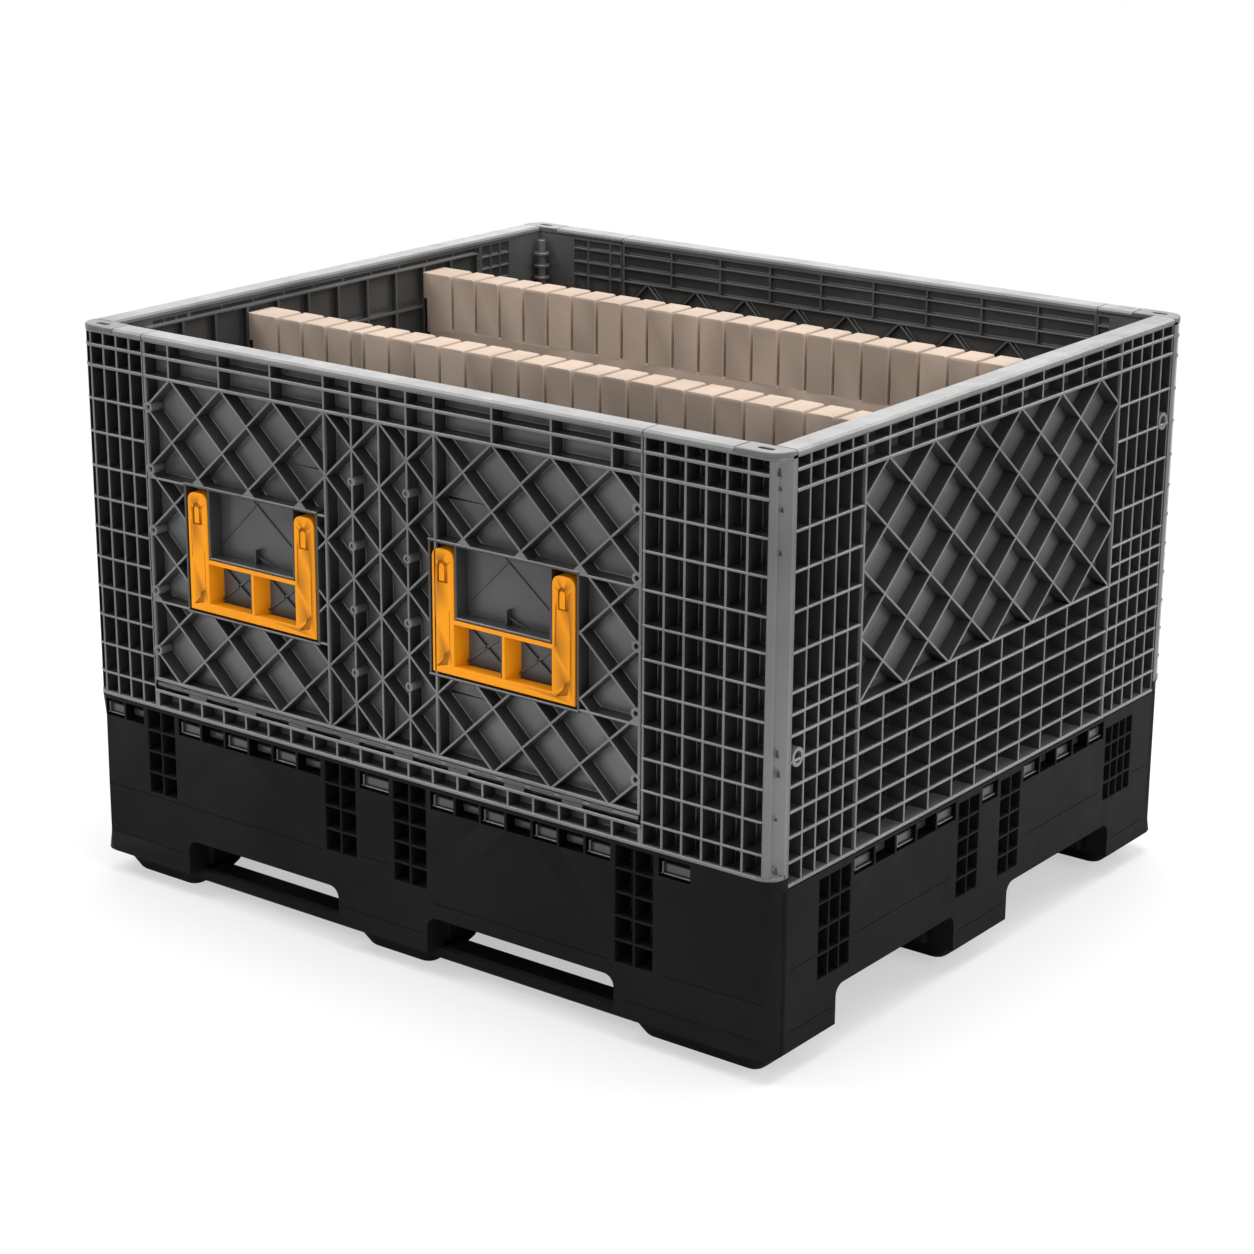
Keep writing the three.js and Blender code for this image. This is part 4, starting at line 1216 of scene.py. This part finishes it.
bpy.ops.mesh.primitive_plane_add(size=8, location=(0, 0, -0.0005))
floor = bpy.context.object
floor.name = "studio_floor"
floor.data.materials.append(stage_material())
floor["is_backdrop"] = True

# Sight lines and reflections see a white room, and the light that it sheds is half as strong.
world = bpy.data.worlds.new("studio")
bpy.context.scene.world = world
world.use_nodes = True
tree = world.node_tree
tree.nodes.clear()
sight, either, mix, out = added(tree, "LightPath", "Math", "MixShader", "OutputWorld")
either.operation = "MAXIMUM"
tree.links.new(sight.outputs["Is Camera Ray"], either.inputs[0])
tree.links.new(sight.outputs["Is Glossy Ray"], either.inputs[1])
tree.links.new(either.outputs["Value"], mix.inputs["Fac"])
for slot, strength in ((1, 0.5), (2, 1.0)):
    (room,) = added(tree, "Background")
    room.inputs["Color"].default_value = (1, 1, 1, 1)
    room.inputs["Strength"].default_value = strength
    tree.links.new(room.outputs["Background"], mix.inputs[slot])
tree.links.new(mix.outputs["Shader"], out.inputs["Surface"])


def area_light(name, location, target, size, power):
    lamp = bpy.data.lights.new(name, "AREA")
    lamp.shape = "SQUARE"
    lamp.size = size
    lamp.energy = power
    thing = bpy.data.objects.new(name, lamp)
    thing.location = location
    thing.rotation_mode = "QUATERNION"
    thing.rotation_quaternion = (Vector(target) - Vector(location)).to_track_quat("-Z", "Y")
    bpy.context.scene.collection.objects.link(thing)


# Name, place, aim, size in metres and power in watts.
area_light("overhead", (0.2, 0.3, 4.2), (0, 0, 0.5), 3.0, 150)
area_light("key", (-2.4, -1.8, 3.6), (0, 0, 0.6), 1.8, 60)
area_light("back_card", (-3.0, 4.0, 2.5), (0, 0, 0.9), 3.4, 36)
area_light("right_card", (1.6, 3.6, 2.8), (0.5, 0, 0.6), 2.0, 50)
area_light("front_fill", (-0.6, -4.2, 1.7), (0, 0, 0.4), 2.0, 36)
area_light("right_fill", (4.2, -0.8, 2.4), (0, 0, 0.7), 2.0, 62)

# Camera fitted to the container's corners in the photograph.
IMAGE_SIZE = 1254
FOCAL_PIXELS = 3028.8
AZIMUTH, ELEVATION, ROLL = 37.01, 17.77, 0.37
DISTANCE = 4.364
TARGET = Vector((0.0814, -0.1306, 0.42))
azimuth, elevation = math.radians(AZIMUTH), math.radians(ELEVATION)
level = math.cos(elevation)
back = Vector((math.sin(azimuth) * level, -math.cos(azimuth) * level, math.sin(elevation)))
camera_data = bpy.data.cameras.new("camera")
camera_data.sensor_width = 36
camera_data.lens = FOCAL_PIXELS * camera_data.sensor_width / IMAGE_SIZE
camera = bpy.data.objects.new("camera", camera_data)
camera.location = TARGET + back * DISTANCE
camera.rotation_mode = "QUATERNION"
facing = (-back).to_track_quat("-Z", "Y").to_matrix().to_4x4() @ Matrix.Rotation(math.radians(ROLL), 4, "Z")
camera.rotation_quaternion = facing.to_quaternion()
bpy.context.scene.collection.objects.link(camera)
bpy.context.scene.camera = camera
bpy.context.scene.view_settings.view_transform = "Standard"

low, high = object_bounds()
